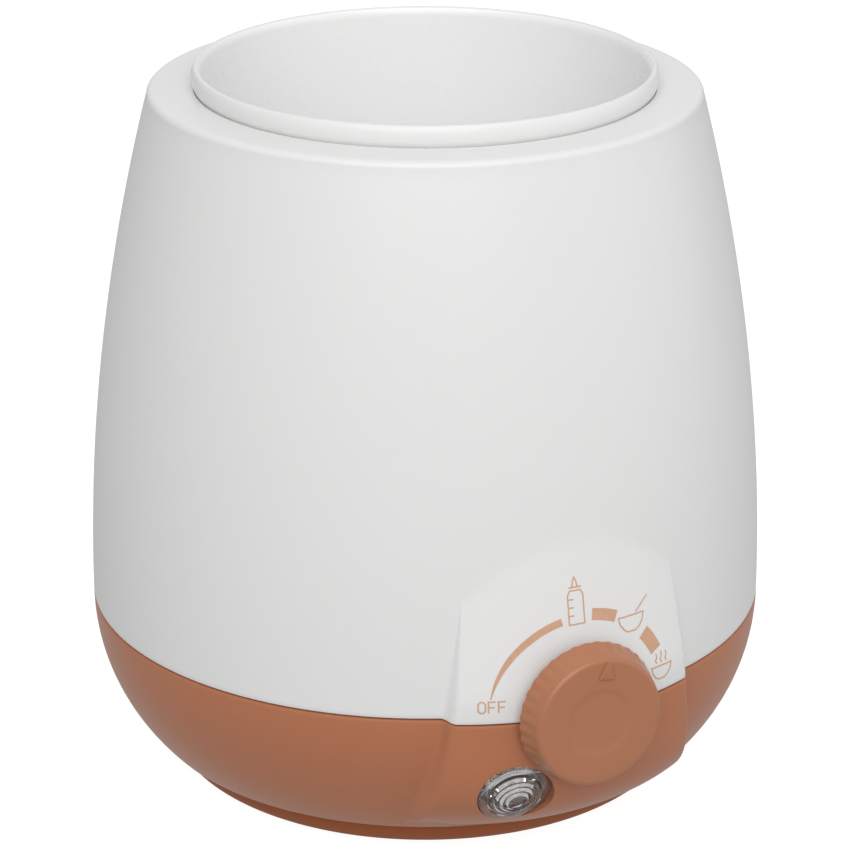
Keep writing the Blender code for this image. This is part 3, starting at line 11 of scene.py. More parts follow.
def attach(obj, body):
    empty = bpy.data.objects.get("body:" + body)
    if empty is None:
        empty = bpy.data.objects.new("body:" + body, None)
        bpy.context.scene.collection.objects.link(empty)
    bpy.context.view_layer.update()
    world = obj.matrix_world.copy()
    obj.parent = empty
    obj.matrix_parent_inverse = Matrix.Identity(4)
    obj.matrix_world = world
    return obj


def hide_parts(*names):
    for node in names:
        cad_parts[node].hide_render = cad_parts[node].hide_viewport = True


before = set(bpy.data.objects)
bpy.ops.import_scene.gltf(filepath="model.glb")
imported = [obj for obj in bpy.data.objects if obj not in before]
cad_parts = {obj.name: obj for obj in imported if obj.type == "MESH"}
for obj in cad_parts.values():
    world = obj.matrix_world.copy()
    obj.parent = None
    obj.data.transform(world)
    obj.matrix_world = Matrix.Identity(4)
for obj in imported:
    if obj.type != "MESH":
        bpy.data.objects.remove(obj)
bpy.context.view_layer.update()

# Sizes shared with the solids, in metres
GAP = 0.0003
RUNNING_GAP = 0.0005
COVER_BOTTOM = 0.0010
COVER_TOP = 0.0068
COVER_FLOOR_TOP = 0.0040
COVER_INSET = 0.0024
COVER_ROUND = 0.0058
BASE_BOTTOM = 0.0071
FLANGE_TOP = 0.0095
FLANGE_OPENING = 0.0385
SEAM = 0.0355
SIDE_HEIGHT = 0.1015
SHOULDER = SEAM + SIDE_HEIGHT
RIM = 0.1410
SEAM_RADIUS = 0.0660
SHOULDER_RADIUS = 0.0524
SIDE_BULGE = 0.0034
BASE_ARC = 0.0402
WALL = 0.0024
CONSOLE_REACH = 0.0700
CONSOLE_CENTRE = 0.0160
CONSOLE_CREST = SEAM + 0.0020
CONSOLE_BEND = 0.0250
CONSOLE_LEAN = math.radians(10.8)
CONSOLE_TUCK = 0.0004
CONSOLE_FULLNESS = 4.4
CONSOLE_HALF_WIDTH = 0.0238
CONSOLE_SIDE_FLARE = 0.12
BOSS_CIRCLE = 0.0440
BOSS_RADIUS = 0.0038
BOSS_TOP = 0.0465
RIB_THICKNESS = 0.0030
CUP_RIM_RADIUS = 0.0433
CUP_LIP = 0.0020
CUP_WALL = 0.0022
CUP_FLOOR_RADIUS = 0.0380
LEDGE_TOP = 0.0510
LEDGE_BOTTOM = 0.0485
LEDGE_OPENING = 0.0300
LUG = Vector((0.0015, 0.0080, 0.0050))
PLATE_BOTTOM = 0.0526
PLATE_TOP = 0.0548
PLATE_RADIUS = 0.0365
PLATE_BOSS_RADIUS = 0.0240
PLATE_BOSS_BOTTOM = 0.0476
KNOB_HEIGHT_UP = 0.0363
KNOB_BACK = 0.0005
KNOB_FRONT = 0.0057
KNOB_RADIUS = 0.0138
KNOB_FACE_RADIUS = 0.0126
KNOB_EDGE_ROUND = 0.0010
KNOB_WALL = 0.0018
KNOB_DISH_RADIUS = 0.0072
KNOB_DISH_DEPTH = 0.0006
KNOB_FLUTES = 36
HUB_RADIUS = 0.0052
HUB_LENGTH = 0.0065
SPINDLE_RADIUS = 0.0030
POINTER_RADIUS = 0.0098
POINTER_SIZE = 0.0021
POINTER_PROUD = 0.0004
POINTER_REST = math.radians(7.0)
LENS_PLACE = (-0.0124, 0.0194)
LENS_YAW = math.radians(-7.0)
LENS_PITCH = math.radians(24.0)
LENS_RADIUS = 0.0068
LENS_SINK = 0.0022
LENS_THICKNESS = 0.0016
LENS_NECK_RADIUS = 0.0050
LENS_NECK_BORE = 0.0038
LENS_NECK_LENGTH = 0.0058
LENS_SEAT = 0.0024
LENS_RIM = 0.0018
CASE_SCREW_RADIUS = 0.0015
CASE_SCREW_HEAD_RADIUS = 0.0028
CASE_SCREW_LOW = 0.0015
CASE_SCREW_SEAT = 0.0035
CASE_SCREW_TIP = 0.0175
FOOT_RADIUS = 0.0050
FOOT_TOP = 0.0021
FOOT_CIRCLE = 0.0340
TERMINAL_SCREW = (0.0040, 0.0240)
INLET_HEIGHT = 0.0215
INLET_SEAT_DEPTH = 0.0012
INLET_SEAT_RADIUS = 0.0077
INLET_COLLAR_RADIUS = 0.0092
INLET_COLLAR_RISE = 0.0010
INLET_BOSS = 0.0058
GLAND_FLANGE_RADIUS = 0.0072
GLAND_FLANGE = 0.0016
GLAND_NECK_RADIUS = 0.0050
GLAND_BORE_RADIUS = 0.0034
GLAND_NECK_END = -0.0108
SCREW_HOLE_RADIUS = 0.0017
PLATE_SCREWS = ((-0.0199, 0.0), (0.0199, 0.0), (-0.0056, -0.0175), (0.0056, -0.0175), (0.0, 0.0146))
PLATE_HOLE_DEPTH = 0.0040
TERMINAL_HOLE_DEPTH = 0.0022

# Forms that only the looks have: soft edges, a slim lip, fine relief and the lift of the print
FLANK_FLARE = 0.20
FLANK_SHIFT = 0.0003
FLANK_SOFT = 0.42
SOFT_MOST = 0.0011
TOP_FILLET = 0.00020
SEAM_EDGE = 0.0003
LIP_BEAD = (0.00095, 0.0020)
MOUTH_SHOW = 0.04385
CORNER_ROUND = 0.0014
FLUTE_SHOW = 0.00017
DISH_SHOW = 0.00022
LENS_DOME = 0.0013
LENS_SHOW = 0.0070
RECESS_SHOW = 0.00718
POINTER_SHAPE = Vector((0.86, 1.14, 1.0))
PRINT_LIFT = 0.00004
MOUTH_EDGE = 0.00005
SOFT_LEAST = 0.0001
FLANK_BLEND = 0.002
FLANK_LEAST = 0.2
LENS_SEAT_SINK = 0.0008
RECESS_FLARE = 0.0004
RECESS_LIP = 0.0006
COLLAR_EDGE = 0.0004
COLLAR_FLAT = 0.0005
BASE_FOOT_EDGE = ((0.0002, 0.0003), (0.0, 0.0009))
LIP_FOOT = ((0.0002, 0.0004), (0.0, 0.0010))
CUP_EDGE = 0.0008
CUP_FILLET = 0.0010
LUG_SINK = 0.0003
PLATE_EDGE = 0.0007
FOOT_EDGE = 0.0006
FOOT_HOLLOW = ((0.0036, 0.0), (0.0032, 0.0002), (0.0, 0.0002))
GLAND_EDGE = 0.0006
THREAD_PITCH = 0.0011
THREAD_TURNS = 11
THREAD_DEPTH = 0.0003

# Columns and rows of the shells
EDGE_SPREAD = math.radians(0.8)
CONSOLE_SPAN = math.radians(36.0)
FRONT_COLUMNS = 41
FLANK_COLUMNS = 19
BESIDE_COLUMNS = 21
BACK_COLUMNS = 120
FINE_ROWS_TOP = SEAM + 0.0380

# How far the cutting tools reach past what they cut
CUT_OUT = 0.0100
CUT_IN = -0.0120
HUB_CUT_OUT = 0.0060
CUT_PAST = 0.002
CUT_BELOW = -0.001
COVER_CUT_TOP = 0.0090


def smooth_max(a, b, width):
    share = np.clip(0.5 + 0.5 * (a - b) / width, 0.0, 1.0)
    return b + (a - b) * share + width * share * (1.0 - share)


def smooth_min(a, b, width):
    return -smooth_max(-a, -b, width)


def side_radius(z):
    t = (z - SEAM) / SIDE_HEIGHT
    return SEAM_RADIUS + (SHOULDER_RADIUS - SEAM_RADIUS) * t + 4 * SIDE_BULGE * t * (1 - t)


def base_radius(z):
    return SEAM_RADIUS - BASE_ARC + np.sqrt(np.maximum(BASE_ARC ** 2 - (SEAM - z) ** 2, 0.0))


def console_radius(z):
    """Distance of the console's face from the upright axis, in the front plane."""
    rise = np.asarray(z, dtype=float) - CONSOLE_CREST
    inset = CONSOLE_REACH - base_radius(BASE_BOTTOM) + CONSOLE_TUCK
    fall = np.maximum(-rise, 0.0) / (CONSOLE_CREST - BASE_BOTTOM)
    lower = CONSOLE_REACH - inset * fall ** CONSOLE_FULLNESS
    bend_rise = CONSOLE_BEND * math.sin(CONSOLE_LEAN)
    bent = CONSOLE_REACH - CONSOLE_BEND + np.sqrt(np.maximum(CONSOLE_BEND ** 2 - rise ** 2, 0.0))
    bend_end = CONSOLE_REACH - CONSOLE_BEND * (1 - math.cos(CONSOLE_LEAN))
    straight = bend_end - (rise - bend_rise) * math.tan(CONSOLE_LEAN)
    return np.where(rise <= 0.0, lower, np.where(rise < bend_rise, bent, straight))


def body_radius(z):
    return np.where(z >= SEAM, side_radius(z), base_radius(z))


def console_edge(z):
    """Plan radius of the console's face, and how far aside and out its edge lies, at a height."""
    plan = console_radius(z) - CONSOLE_CENTRE
    half = CONSOLE_HALF_WIDTH + FLANK_SHIFT - CONSOLE_SIDE_FLARE * (z - SEAM)
    edge = CONSOLE_CENTRE + np.sqrt(np.maximum(plan ** 2 - half ** 2, 0.0))
    return plan, half, edge


def shell_radius(angle, z):
    """Radius of the body with its console, at an angle from the front."""
    z = np.asarray(z, dtype=float)
    body = body_radius(z)
    plan, half, edge = console_edge(z)
    sine = np.abs(np.sin(angle))
    cosine = np.cos(angle)
    front = CONSOLE_CENTRE * cosine + np.sqrt(np.maximum(plan ** 2 - (CONSOLE_CENTRE * sine) ** 2, 0.0))
    flank = (half + FLANK_FLARE * edge) / np.maximum(sine + FLANK_FLARE * cosine, FLANK_LEAST)
    soft = np.clip(FLANK_SOFT * (np.hypot(half, edge) - body), SOFT_LEAST, SOFT_MOST)
    console = np.where(cosine > 0.5, smooth_min(front, flank, soft), 0.0)
    share = np.clip((front - flank) / FLANK_BLEND + 0.5, 0.0, 1.0)
    return smooth_max(body, console, TOP_FILLET + (soft - TOP_FILLET) * share)


def face_point(x, z, lift=0.0):
    """Point on the front of the shells at an x and a height."""
    angle = math.asin(x / CONSOLE_REACH)
    for _ in range(8):
        angle = math.asin(x / float(shell_radius(angle, z)))
    radius = float(shell_radius(angle, z)) + lift
    return Vector((radius * math.sin(angle), -radius * math.cos(angle), z))


def flank_angles(z):
    """Angles of the console's edge and of the foot of its flank, at a height."""
    half, edge = (float(size) for size in console_edge(z)[1:])
    lean = math.atan(FLANK_FLARE)
    reach = (half + FLANK_FLARE * edge) * math.cos(lean)
    crest = math.atan2(half, edge)
    foot = math.asin(min(1.0, reach / float(body_radius(z)))) - lean
    return crest - EDGE_SPREAD, max(foot, crest + EDGE_SPREAD / 2) + EDGE_SPREAD


def shell_angles(z):
    """Angles round the body at a height, with columns along the console's edges."""
    crest, foot = flank_angles(z)
    front = crest * np.sin(np.linspace(0.0, math.pi / 2, FRONT_COLUMNS))
    flank = np.linspace(crest, foot, FLANK_COLUMNS)[1:]
    quarter = np.linspace(0.0, math.pi / 2, BESIDE_COLUMNS)[1:]
    beside = CONSOLE_SPAN - (CONSOLE_SPAN - foot) * np.cos(quarter)
    half = np.concatenate([front, flank, beside])
    around = np.linspace(CONSOLE_SPAN, math.tau - CONSOLE_SPAN, BACK_COLUMNS)[1:-1]
    return np.concatenate([-half[:0:-1], half, around])


def new_piece(name, mesh, material):
    piece = bpy.data.objects.new(name, mesh)
    bpy.context.scene.collection.objects.link(piece)
    mesh.materials.append(material)
    return piece


def shade(piece, sharp=35.0):
    piece.data.shade_smooth()
    piece.data.set_sharp_from_angle(angle=math.radians(sharp))


def grid_mesh(name, rings, closed):
    """Mesh from rows of points, each row a closed ring round the piece."""
    rows = len(rings)
    count = len(rings[0])
    points = [tuple(point) for ring in rings for point in ring]
    faces = []
    for i in range(rows if closed else rows - 1):
        low = i * count
        high = (i + 1) % rows * count
        for j in range(count):
            k = (j + 1) % count
            faces.append((low + j, low + k, high + k, high + j))
    mesh = bpy.data.meshes.new(name)
    mesh.from_pydata(points, [], faces)
    return mesh


def outward(mesh):
    form = bmesh.new()
    form.from_mesh(mesh)
    bmesh.ops.remove_doubles(form, verts=form.verts, dist=0.0000005)
    bmesh.ops.recalc_face_normals(form, faces=form.faces)
    form.to_mesh(mesh)
    form.free()
    return mesh


def lathe(name, profile, steps, ring=False):
    """Turn (radius, height) points about Z; a ring profile closes on itself."""
    angles = [math.tau * i / steps for i in range(steps)]
    rings = [[(r * math.cos(a), r * math.sin(a), z) for a in angles] for r, z in profile]
    return outward(grid_mesh(name, rings, ring))


def arc(centre, radius, start, end, steps):
    """Points on part of a circle, or of an ellipse where the radius is a pair; angles in degrees."""
    across, up = radius if isinstance(radius, tuple) else (radius, radius)
    angles = [math.radians(start + (end - start) * i / steps) for i in range(steps + 1)]
    return [(centre[0] + across * math.cos(a), centre[1] + up * math.sin(a)) for a in angles]


def moved(mesh, matrix):
    mesh.transform(matrix)
    return mesh


def merged(name, meshes):
    """One mesh from several closed ones."""
    form = bmesh.new()
    for mesh in meshes:
        form.from_mesh(mesh)
    whole = bpy.data.meshes.new(name)
    form.to_mesh(whole)
    form.free()
    return whole


def box_mesh(low, high):
    low = Vector(low)
    high = Vector(high)
    form = bmesh.new()
    place = Matrix.Translation((low + high) / 2) @ Matrix.Diagonal((*(high - low), 1.0))
    bmesh.ops.create_cube(form, size=1.0, matrix=place)
    mesh = bpy.data.meshes.new("box")
    form.to_mesh(mesh)
    form.free()
    return mesh


def carved(mesh, cutters, operation="DIFFERENCE"):
    """Mesh with each cutter taken out of it, or joined to it."""
    item = bpy.data.objects.new("carved", mesh)
    bpy.context.scene.collection.objects.link(item)
    tools = []
    for cutter in cutters:
        tool = bpy.data.objects.new("cutter", cutter)
        bpy.context.scene.collection.objects.link(tool)
        tools.append(tool)
        change = item.modifiers.new("carve", "BOOLEAN")
        change.operation = operation
        change.solver = "EXACT"
        change.object = tool
    bpy.context.view_layer.update()
    depsgraph = bpy.context.evaluated_depsgraph_get()
    result = bpy.data.meshes.new_from_object(item.evaluated_get(depsgraph))
    for extra in tools + [item]:
        bpy.data.objects.remove(extra, do_unlink=True)
    return result


def rod_mesh(radius, low, high, steps=64):
    return lathe("rod", [(0.0, high), (radius, high), (radius, low), (0.0, low)], steps)


def outwards_axis():
    """Frame of the control: local Z points out of the console."""
    place = Matrix.Translation((0.0, -CONSOLE_REACH, KNOB_HEIGHT_UP))
    return place @ Matrix.Rotation(math.pi / 2, 4, "X")


def lens_axis():
    x, z = LENS_PLACE
    plan = float(console_radius(z)) - CONSOLE_CENTRE
    y = -CONSOLE_CENTRE - math.sqrt(plan ** 2 - x ** 2)
    aim = Matrix.Rotation(LENS_YAW, 4, "Z") @ Matrix.Rotation(math.pi / 2 + LENS_PITCH, 4, "X")
    return Matrix.Translation((x, y, z)) @ aim


def inlet_axis():
    y = float(base_radius(INLET_HEIGHT)) - INLET_SEAT_DEPTH
    return Matrix.Translation((0.0, y, INLET_HEIGHT)) @ Matrix.Rotation(-math.pi / 2, 4, "X")


def corners(count, start, radius):
    """Places evenly round a circle."""
    angles = [start + math.tau * i / count for i in range(count)]
    return [Vector((radius * math.cos(a), radius * math.sin(a), 0.0)) for a in angles]


def shell_rings(outer_rows, inner_rows):
    """Rings of points for a shell.

    Rows are (height, inset) pairs, or (height, None, radius) for plain circles.
    """
    rings = []
    for row in outer_rows + inner_rows:
        z = row[0]
        angles = shell_angles(z)
        if len(row) == 3:
            radius = np.full_like(angles, row[2])
        else:
            radius = shell_radius(angles, np.full_like(angles, z)) - row[1]
        rings.append([(r * math.sin(a), -r * math.cos(a), z) for r, a in zip(radius, angles)])
    return rings


def seam_rows(z, way):
    """Rows of a soft edge that starts at a height and goes up (1) or down (-1)."""
    steps = ((0.0, 1.0), (0.3, 0.3), (1.0, 0.0))
    return [(z + way * part * SEAM_EDGE, inset * SEAM_EDGE) for part, inset in steps]


def hub_hole():
    """Tool for the hole that the knob's hub turns in."""
    return moved(rod_mesh(HUB_RADIUS + RUNNING_GAP, CUT_IN, HUB_CUT_OUT), outwards_axis())


def make_upper_housing(material):
    low = SEAM + GAP / 2
    corner = SHOULDER - CORNER_ROUND
    rows = seam_rows(low, 1)
    rows += [(z, 0.0) for z in np.linspace(low + 0.0010, FINE_ROWS_TOP, 52)]
    rows += [(z, 0.0) for z in np.linspace(FINE_ROWS_TOP, corner, 30)[1:]]
    edge = float(side_radius(corner)) - CORNER_ROUND
    rows += [(z, None, r) for r, z in arc((edge, corner), CORNER_ROUND, 15.0, 90.0, 10)]
    rows += [(SHOULDER, None, r) for r in np.linspace(edge, MOUTH_SHOW + MOUTH_EDGE, 6)[1:]]
    rows += [(SHOULDER - MOUTH_EDGE, None, MOUTH_SHOW), (SHOULDER - WALL, None, MOUTH_SHOW)]
    inner = [(SHOULDER - WALL, None, edge - WALL), (corner, WALL)]
    inner += [(z, WALL) for z in np.linspace(corner, low, 40)[1:]]
    shell = outward(grid_mesh("upper_shell", shell_rings(rows, inner), True))
    shell = carved(shell, [hub_hole()])
    bosses = []
    for place in corners(4, math.pi / 4, BOSS_CIRCLE):
        hole = CASE_SCREW_RADIUS + GAP
        bottom = FLANGE_TOP + GAP
        profile = [
            (0.0, BOSS_TOP),
            (BOSS_RADIUS, BOSS_TOP),
            (BOSS_RADIUS, bottom),
            (hole, bottom),
            (hole, CASE_SCREW_TIP + GAP),
            (0.0, CASE_SCREW_TIP + GAP),
        ]
        bosses.append(moved(lathe("boss", profile, 32), Matrix.Translation(place)))
        angle = math.atan2(place.y, place.x)
        reach = float(side_radius(BOSS_TOP)) - WALL / 2
        rib = box_mesh(
            (BOSS_CIRCLE + BOSS_RADIUS / 2, -RIB_THICKNESS / 2, SEAM + 3 * GAP),
            (reach, RIB_THICKNESS / 2, BOSS_TOP - GAP),
        )
        bosses.append(moved(rib, Matrix.Rotation(angle, 4, "Z")))
    piece = new_piece("upper_housing_shell", merged("upper_housing_shell", [shell] + bosses), material)
    shade(piece)
    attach(piece, "body")
    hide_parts("upper_housing")


def make_base_shell(material):
    high = SEAM - GAP / 2
    low = BASE_BOTTOM
    rows = seam_rows(high, -1)
    rows += [(z, 0.0) for z in np.linspace(high - 0.0008, low + 0.0006, 48)]
    rows += [(low + rise, inset) for rise, inset in BASE_FOOT_EDGE]
    inner = [(low, None, FLANGE_OPENING), (FLANGE_TOP, None, FLANGE_OPENING)]
    inner += [(FLANGE_TOP, WALL + 0.0004)]
    inner += [(z, WALL) for z in np.linspace(FLANGE_TOP + 0.0006, high, 24)]
    shell = outward(grid_mesh("base_wall", shell_rings(rows, inner), True))
    inlet = inlet_axis()
    collar = [(0.0, INLET_COLLAR_RISE), (INLET_COLLAR_RADIUS - COLLAR_FLAT, INLET_COLLAR_RISE)]
    turn = (INLET_COLLAR_RADIUS - COLLAR_EDGE, INLET_COLLAR_RISE - COLLAR_EDGE)
    collar += arc(turn, COLLAR_EDGE, 75.0, 0.0, 4)
    collar += [(INLET_COLLAR_RADIUS, -INLET_BOSS), (0.0, -INLET_BOSS)]
    aim = lens_axis()
    seat_radius = LENS_RADIUS + RUNNING_GAP + LENS_RIM
    seat = moved(rod_mesh(seat_radius, -LENS_SINK - LENS_SEAT, -LENS_SINK - LENS_SEAT_SINK), aim)
    shell = carved(shell, [moved(lathe("collar", collar, 72), inlet), seat], "UNION")
    lens_hole = [(0.0, CUT_OUT), (RECESS_SHOW + RECESS_FLARE, CUT_OUT)]
    lens_hole += [(RECESS_SHOW, -RECESS_LIP), (RECESS_SHOW, -LENS_SINK)]
    bore = LENS_NECK_RADIUS + GAP
    lens_hole += [(bore, -LENS_SINK), (bore, CUT_IN), (0.0, CUT_IN)]
    inlet_hole = [(0.0, CUT_OUT), (INLET_SEAT_RADIUS, CUT_OUT), (INLET_SEAT_RADIUS, 0.0)]
    inlet_bore = GLAND_NECK_RADIUS + GAP
    inlet_hole += [(inlet_bore, 0.0), (inlet_bore, CUT_IN), (0.0, CUT_IN)]
    cutters = [
        moved(lathe("lens_hole", lens_hole, 96), aim),
        moved(lathe("inlet_hole", inlet_hole, 72), inlet),
        hub_hole(),
    ]
    for place in corners(4, math.pi / 4, BOSS_CIRCLE):
        hole = rod_mesh(CASE_SCREW_RADIUS + GAP, COVER_BOTTOM, SEAM / 2, 24)
        cutters.append(moved(hole, Matrix.Translation(place)))
    piece = new_piece("base_shell_moulding", carved(shell, cutters), material)
    shade(piece)
    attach(piece, "body")
    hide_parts("base_shell")


def make_water_cup(material, lit_cup_white):
    inner_top = CUP_RIM_RADIUS - LIP_BEAD[0]
    bead = RIM - LIP_BEAD[1]
    outer_top = CUP_RIM_RADIUS - CUP_LIP + CUP_WALL
    profile = arc((CUP_RIM_RADIUS, bead), LIP_BEAD, 180.0, -62.0, 32)
    profile += [(outer_top + out, SHOULDER - drop) for out, drop in LIP_FOOT]
    profile += [(CUP_FLOOR_RADIUS + CUP_WALL, LEDGE_BOTTOM + CUP_EDGE)]
    profile += [(CUP_FLOOR_RADIUS + CUP_WALL - CUP_EDGE, LEDGE_BOTTOM), (LEDGE_OPENING, LEDGE_BOTTOM)]
    profile += [(LEDGE_OPENING, LEDGE_TOP)]
    profile += arc((CUP_FLOOR_RADIUS - CUP_FILLET, LEDGE_TOP + CUP_FILLET), CUP_FILLET, -90.0, 0.0, 5)
    for z in np.linspace(LEDGE_TOP + 0.0020, bead - 0.0010, 14):
        share = (z - LEDGE_TOP) / (bead - LEDGE_TOP)
        profile.append((CUP_FLOOR_RADIUS + (inner_top - CUP_FLOOR_RADIUS) * share, z))
    meshes = [lathe("cup", profile, 192, True)]
    lug_top = SHOULDER - WALL - GAP
    outer = outer_top - LUG_SINK
    for i in range(3):
        lug = box_mesh(
            (outer - CUP_WALL / 2, -LUG.y / 2, lug_top - LUG.z),
            (outer + LUG.x, LUG.y / 2, lug_top),
        )
        meshes.append(moved(lug, Matrix.Rotation(math.pi / 2 + math.tau * i / 3, 4, "Z")))
    piece = new_piece("water_cup_moulding", merged("water_cup_moulding", meshes), material)
    # The cup's inner wall above the ledge takes a brighter copy of the gloss white: painted light,
    # standing in for the light that falls into the cup.
    piece.data.materials.append(lit_cup_white)
    for face in piece.data.polygons:
        inside = math.hypot(face.center.x, face.center.y) < CUP_RIM_RADIUS - LIP_BEAD[0] / 2
        face.material_index = int(inside and face.center.z > LEDGE_TOP)
    shade(piece)
    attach(piece, "body")
    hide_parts("water_cup")


def make_heating_plate(material):
    profile = [(0.0, PLATE_TOP)]
    profile += [(r, PLATE_TOP) for r in np.linspace(0.004, PLATE_RADIUS - 0.004, 8)]
    profile += arc((PLATE_RADIUS - PLATE_EDGE, PLATE_TOP - PLATE_EDGE), PLATE_EDGE, 90.0, 0.0, 6)
    profile += [(PLATE_RADIUS, PLATE_BOTTOM), (PLATE_BOSS_RADIUS, PLATE_BOTTOM)]
    profile += [(PLATE_BOSS_RADIUS, PLATE_BOSS_BOTTOM), (0.0, PLATE_BOSS_BOTTOM)]
    holes = []
    for x, y in PLATE_SCREWS:
        low = PLATE_BOSS_BOTTOM - CUT_PAST
        hole = rod_mesh(SCREW_HOLE_RADIUS, low, PLATE_BOSS_BOTTOM + PLATE_HOLE_DEPTH, 24)
        holes.append(moved(hole, Matrix.Translation((x, y, 0.0))))
    plate = carved(lathe("plate", profile, 160), holes)
    piece = new_piece("heating_plate_disc", plate, material)
    shade(piece)
    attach(piece, "body")
    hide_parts("heating_plate")


def make_bottom_cover(material):
    rim = float(base_radius(BASE_BOTTOM)) - COVER_INSET
    flat = rim - COVER_ROUND
    depth = COVER_TOP - COVER_BOTTOM
    profile = [(0.0, COVER_FLOOR_TOP), (FLANGE_OPENING, COVER_FLOOR_TOP)]
    profile += [(FLANGE_OPENING + 0.001, COVER_TOP), (rim - 0.0003, COVER_TOP)]
    profile += arc((flat, COVER_TOP), (COVER_ROUND, depth), -3.0, -90.0, 20)
    profile += [(r, COVER_BOTTOM) for r in np.linspace(flat, 0.0, 8)[1:]]
    cutters = []
    for place in corners(4, math.pi / 4, BOSS_CIRCLE):
        head = CASE_SCREW_HEAD_RADIUS + GAP
        hole = CASE_SCREW_RADIUS + GAP
        seat = CASE_SCREW_SEAT + GAP
        sunk = [(0.0, COVER_CUT_TOP), (hole, COVER_CUT_TOP), (hole, seat), (head, seat)]
        sunk += [(head, CUT_BELOW), (0.0, CUT_BELOW)]
        cutters.append(moved(lathe("sunk", sunk, 40), Matrix.Translation(place)))
    for place in corners(4, 0.0, FOOT_CIRCLE):
        pocket = rod_mesh(FOOT_RADIUS + GAP, CUT_BELOW, FOOT_TOP + GAP, 48)
        cutters.append(moved(pocket, Matrix.Translation(place)))
    low = COVER_FLOOR_TOP - TERMINAL_HOLE_DEPTH
    screw = rod_mesh(SCREW_HOLE_RADIUS, low, COVER_FLOOR_TOP + CUT_PAST, 24)
    cutters.append(moved(screw, Matrix.Translation((*TERMINAL_SCREW, 0.0))))
    piece = new_piece("bottom_cover_moulding", carved(lathe("cover", profile, 192), cutters), material)
    shade(piece)
    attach(piece, "body")
    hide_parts("bottom_cover")


def make_feet(material):
    profile = [(0.0, FOOT_TOP), (FOOT_RADIUS, FOOT_TOP)]
    profile += arc((FOOT_RADIUS - FOOT_EDGE, FOOT_EDGE), FOOT_EDGE, 0.0, -90.0, 6)
    profile += FOOT_HOLLOW
    for i, place in enumerate(corners(4, 0.0, FOOT_CIRCLE), 1):
        mesh = moved(lathe(f"foot_{i}", profile, 56), Matrix.Translation(place))
        piece = new_piece(f"rubber_foot_pad_{i}", mesh, material)
        shade(piece)
        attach(piece, "body")
        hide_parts(f"rubber_foot_{i}")


def make_case_screws(material):
    low = CASE_SCREW_LOW
    head = CASE_SCREW_HEAD_RADIUS
    shank = CASE_SCREW_RADIUS
    profile = [(0.0, CASE_SCREW_TIP), (0.0003, CASE_SCREW_TIP)]
    for i in range(THREAD_TURNS):
        top = CASE_SCREW_TIP - THREAD_PITCH - THREAD_PITCH * i
        profile += [(shank - THREAD_DEPTH, top), (shank, top - THREAD_PITCH / 2)]
    profile += [(shank - 0.0001, CASE_SCREW_SEAT), (head, CASE_SCREW_SEAT)]
    profile += arc((head - 0.0009, low + 0.0009), 0.0009, 0.0, -80.0, 6)
    profile += [(head * 0.4, low), (0.0, low)]
    arm = 0.0004
    span = 0.0016
    slots = [
        box_mesh((-span, -arm, low - 0.001), (span, arm, low + 0.0010)),
        box_mesh((-arm, -span, low - 0.001), (arm, span, low + 0.0010)),
    ]
    screw = carved(lathe("screw", profile, 40), slots)
    for i, place in enumerate(corners(4, math.pi / 4, BOSS_CIRCLE), 1):
        mesh = screw.copy()
        mesh.transform(Matrix.Translation(place) @ Matrix.Rotation(0.7 * i, 4, "Z"))
        piece = new_piece(f"case_screw_turned_{i}", mesh, material)
        shade(piece)
        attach(piece, "body")
        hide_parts(f"case_screw_{i}")


def make_cable_gland(material):
    front = GAP + GLAND_FLANGE
    profile = arc((GLAND_BORE_RADIUS + GLAND_EDGE, front - GLAND_EDGE), GLAND_EDGE, 180.0, 90.0, 5)
    profile += arc((GLAND_FLANGE_RADIUS - GLAND_EDGE, front - GLAND_EDGE), GLAND_EDGE, 90.0, 0.0, 5)
    profile += [(GLAND_FLANGE_RADIUS, GAP), (GLAND_NECK_RADIUS, GAP)]
    pitch = 0.0012
    z = -0.0012
    while z - pitch > GLAND_NECK_END:
        profile += [(GLAND_NECK_RADIUS, z), (GLAND_NECK_RADIUS - 0.0003, z - pitch / 2)]
        z -= pitch
    profile += [(GLAND_NECK_RADIUS - 0.0002, GLAND_NECK_END), (GLAND_BORE_RADIUS, GLAND_NECK_END)]
    mesh = moved(lathe("gland", profile, 72, True), inlet_axis())
    piece = new_piece("cable_gland_moulding", mesh, material)
    shade(piece)
    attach(piece, "body")
    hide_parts("cable_gland")


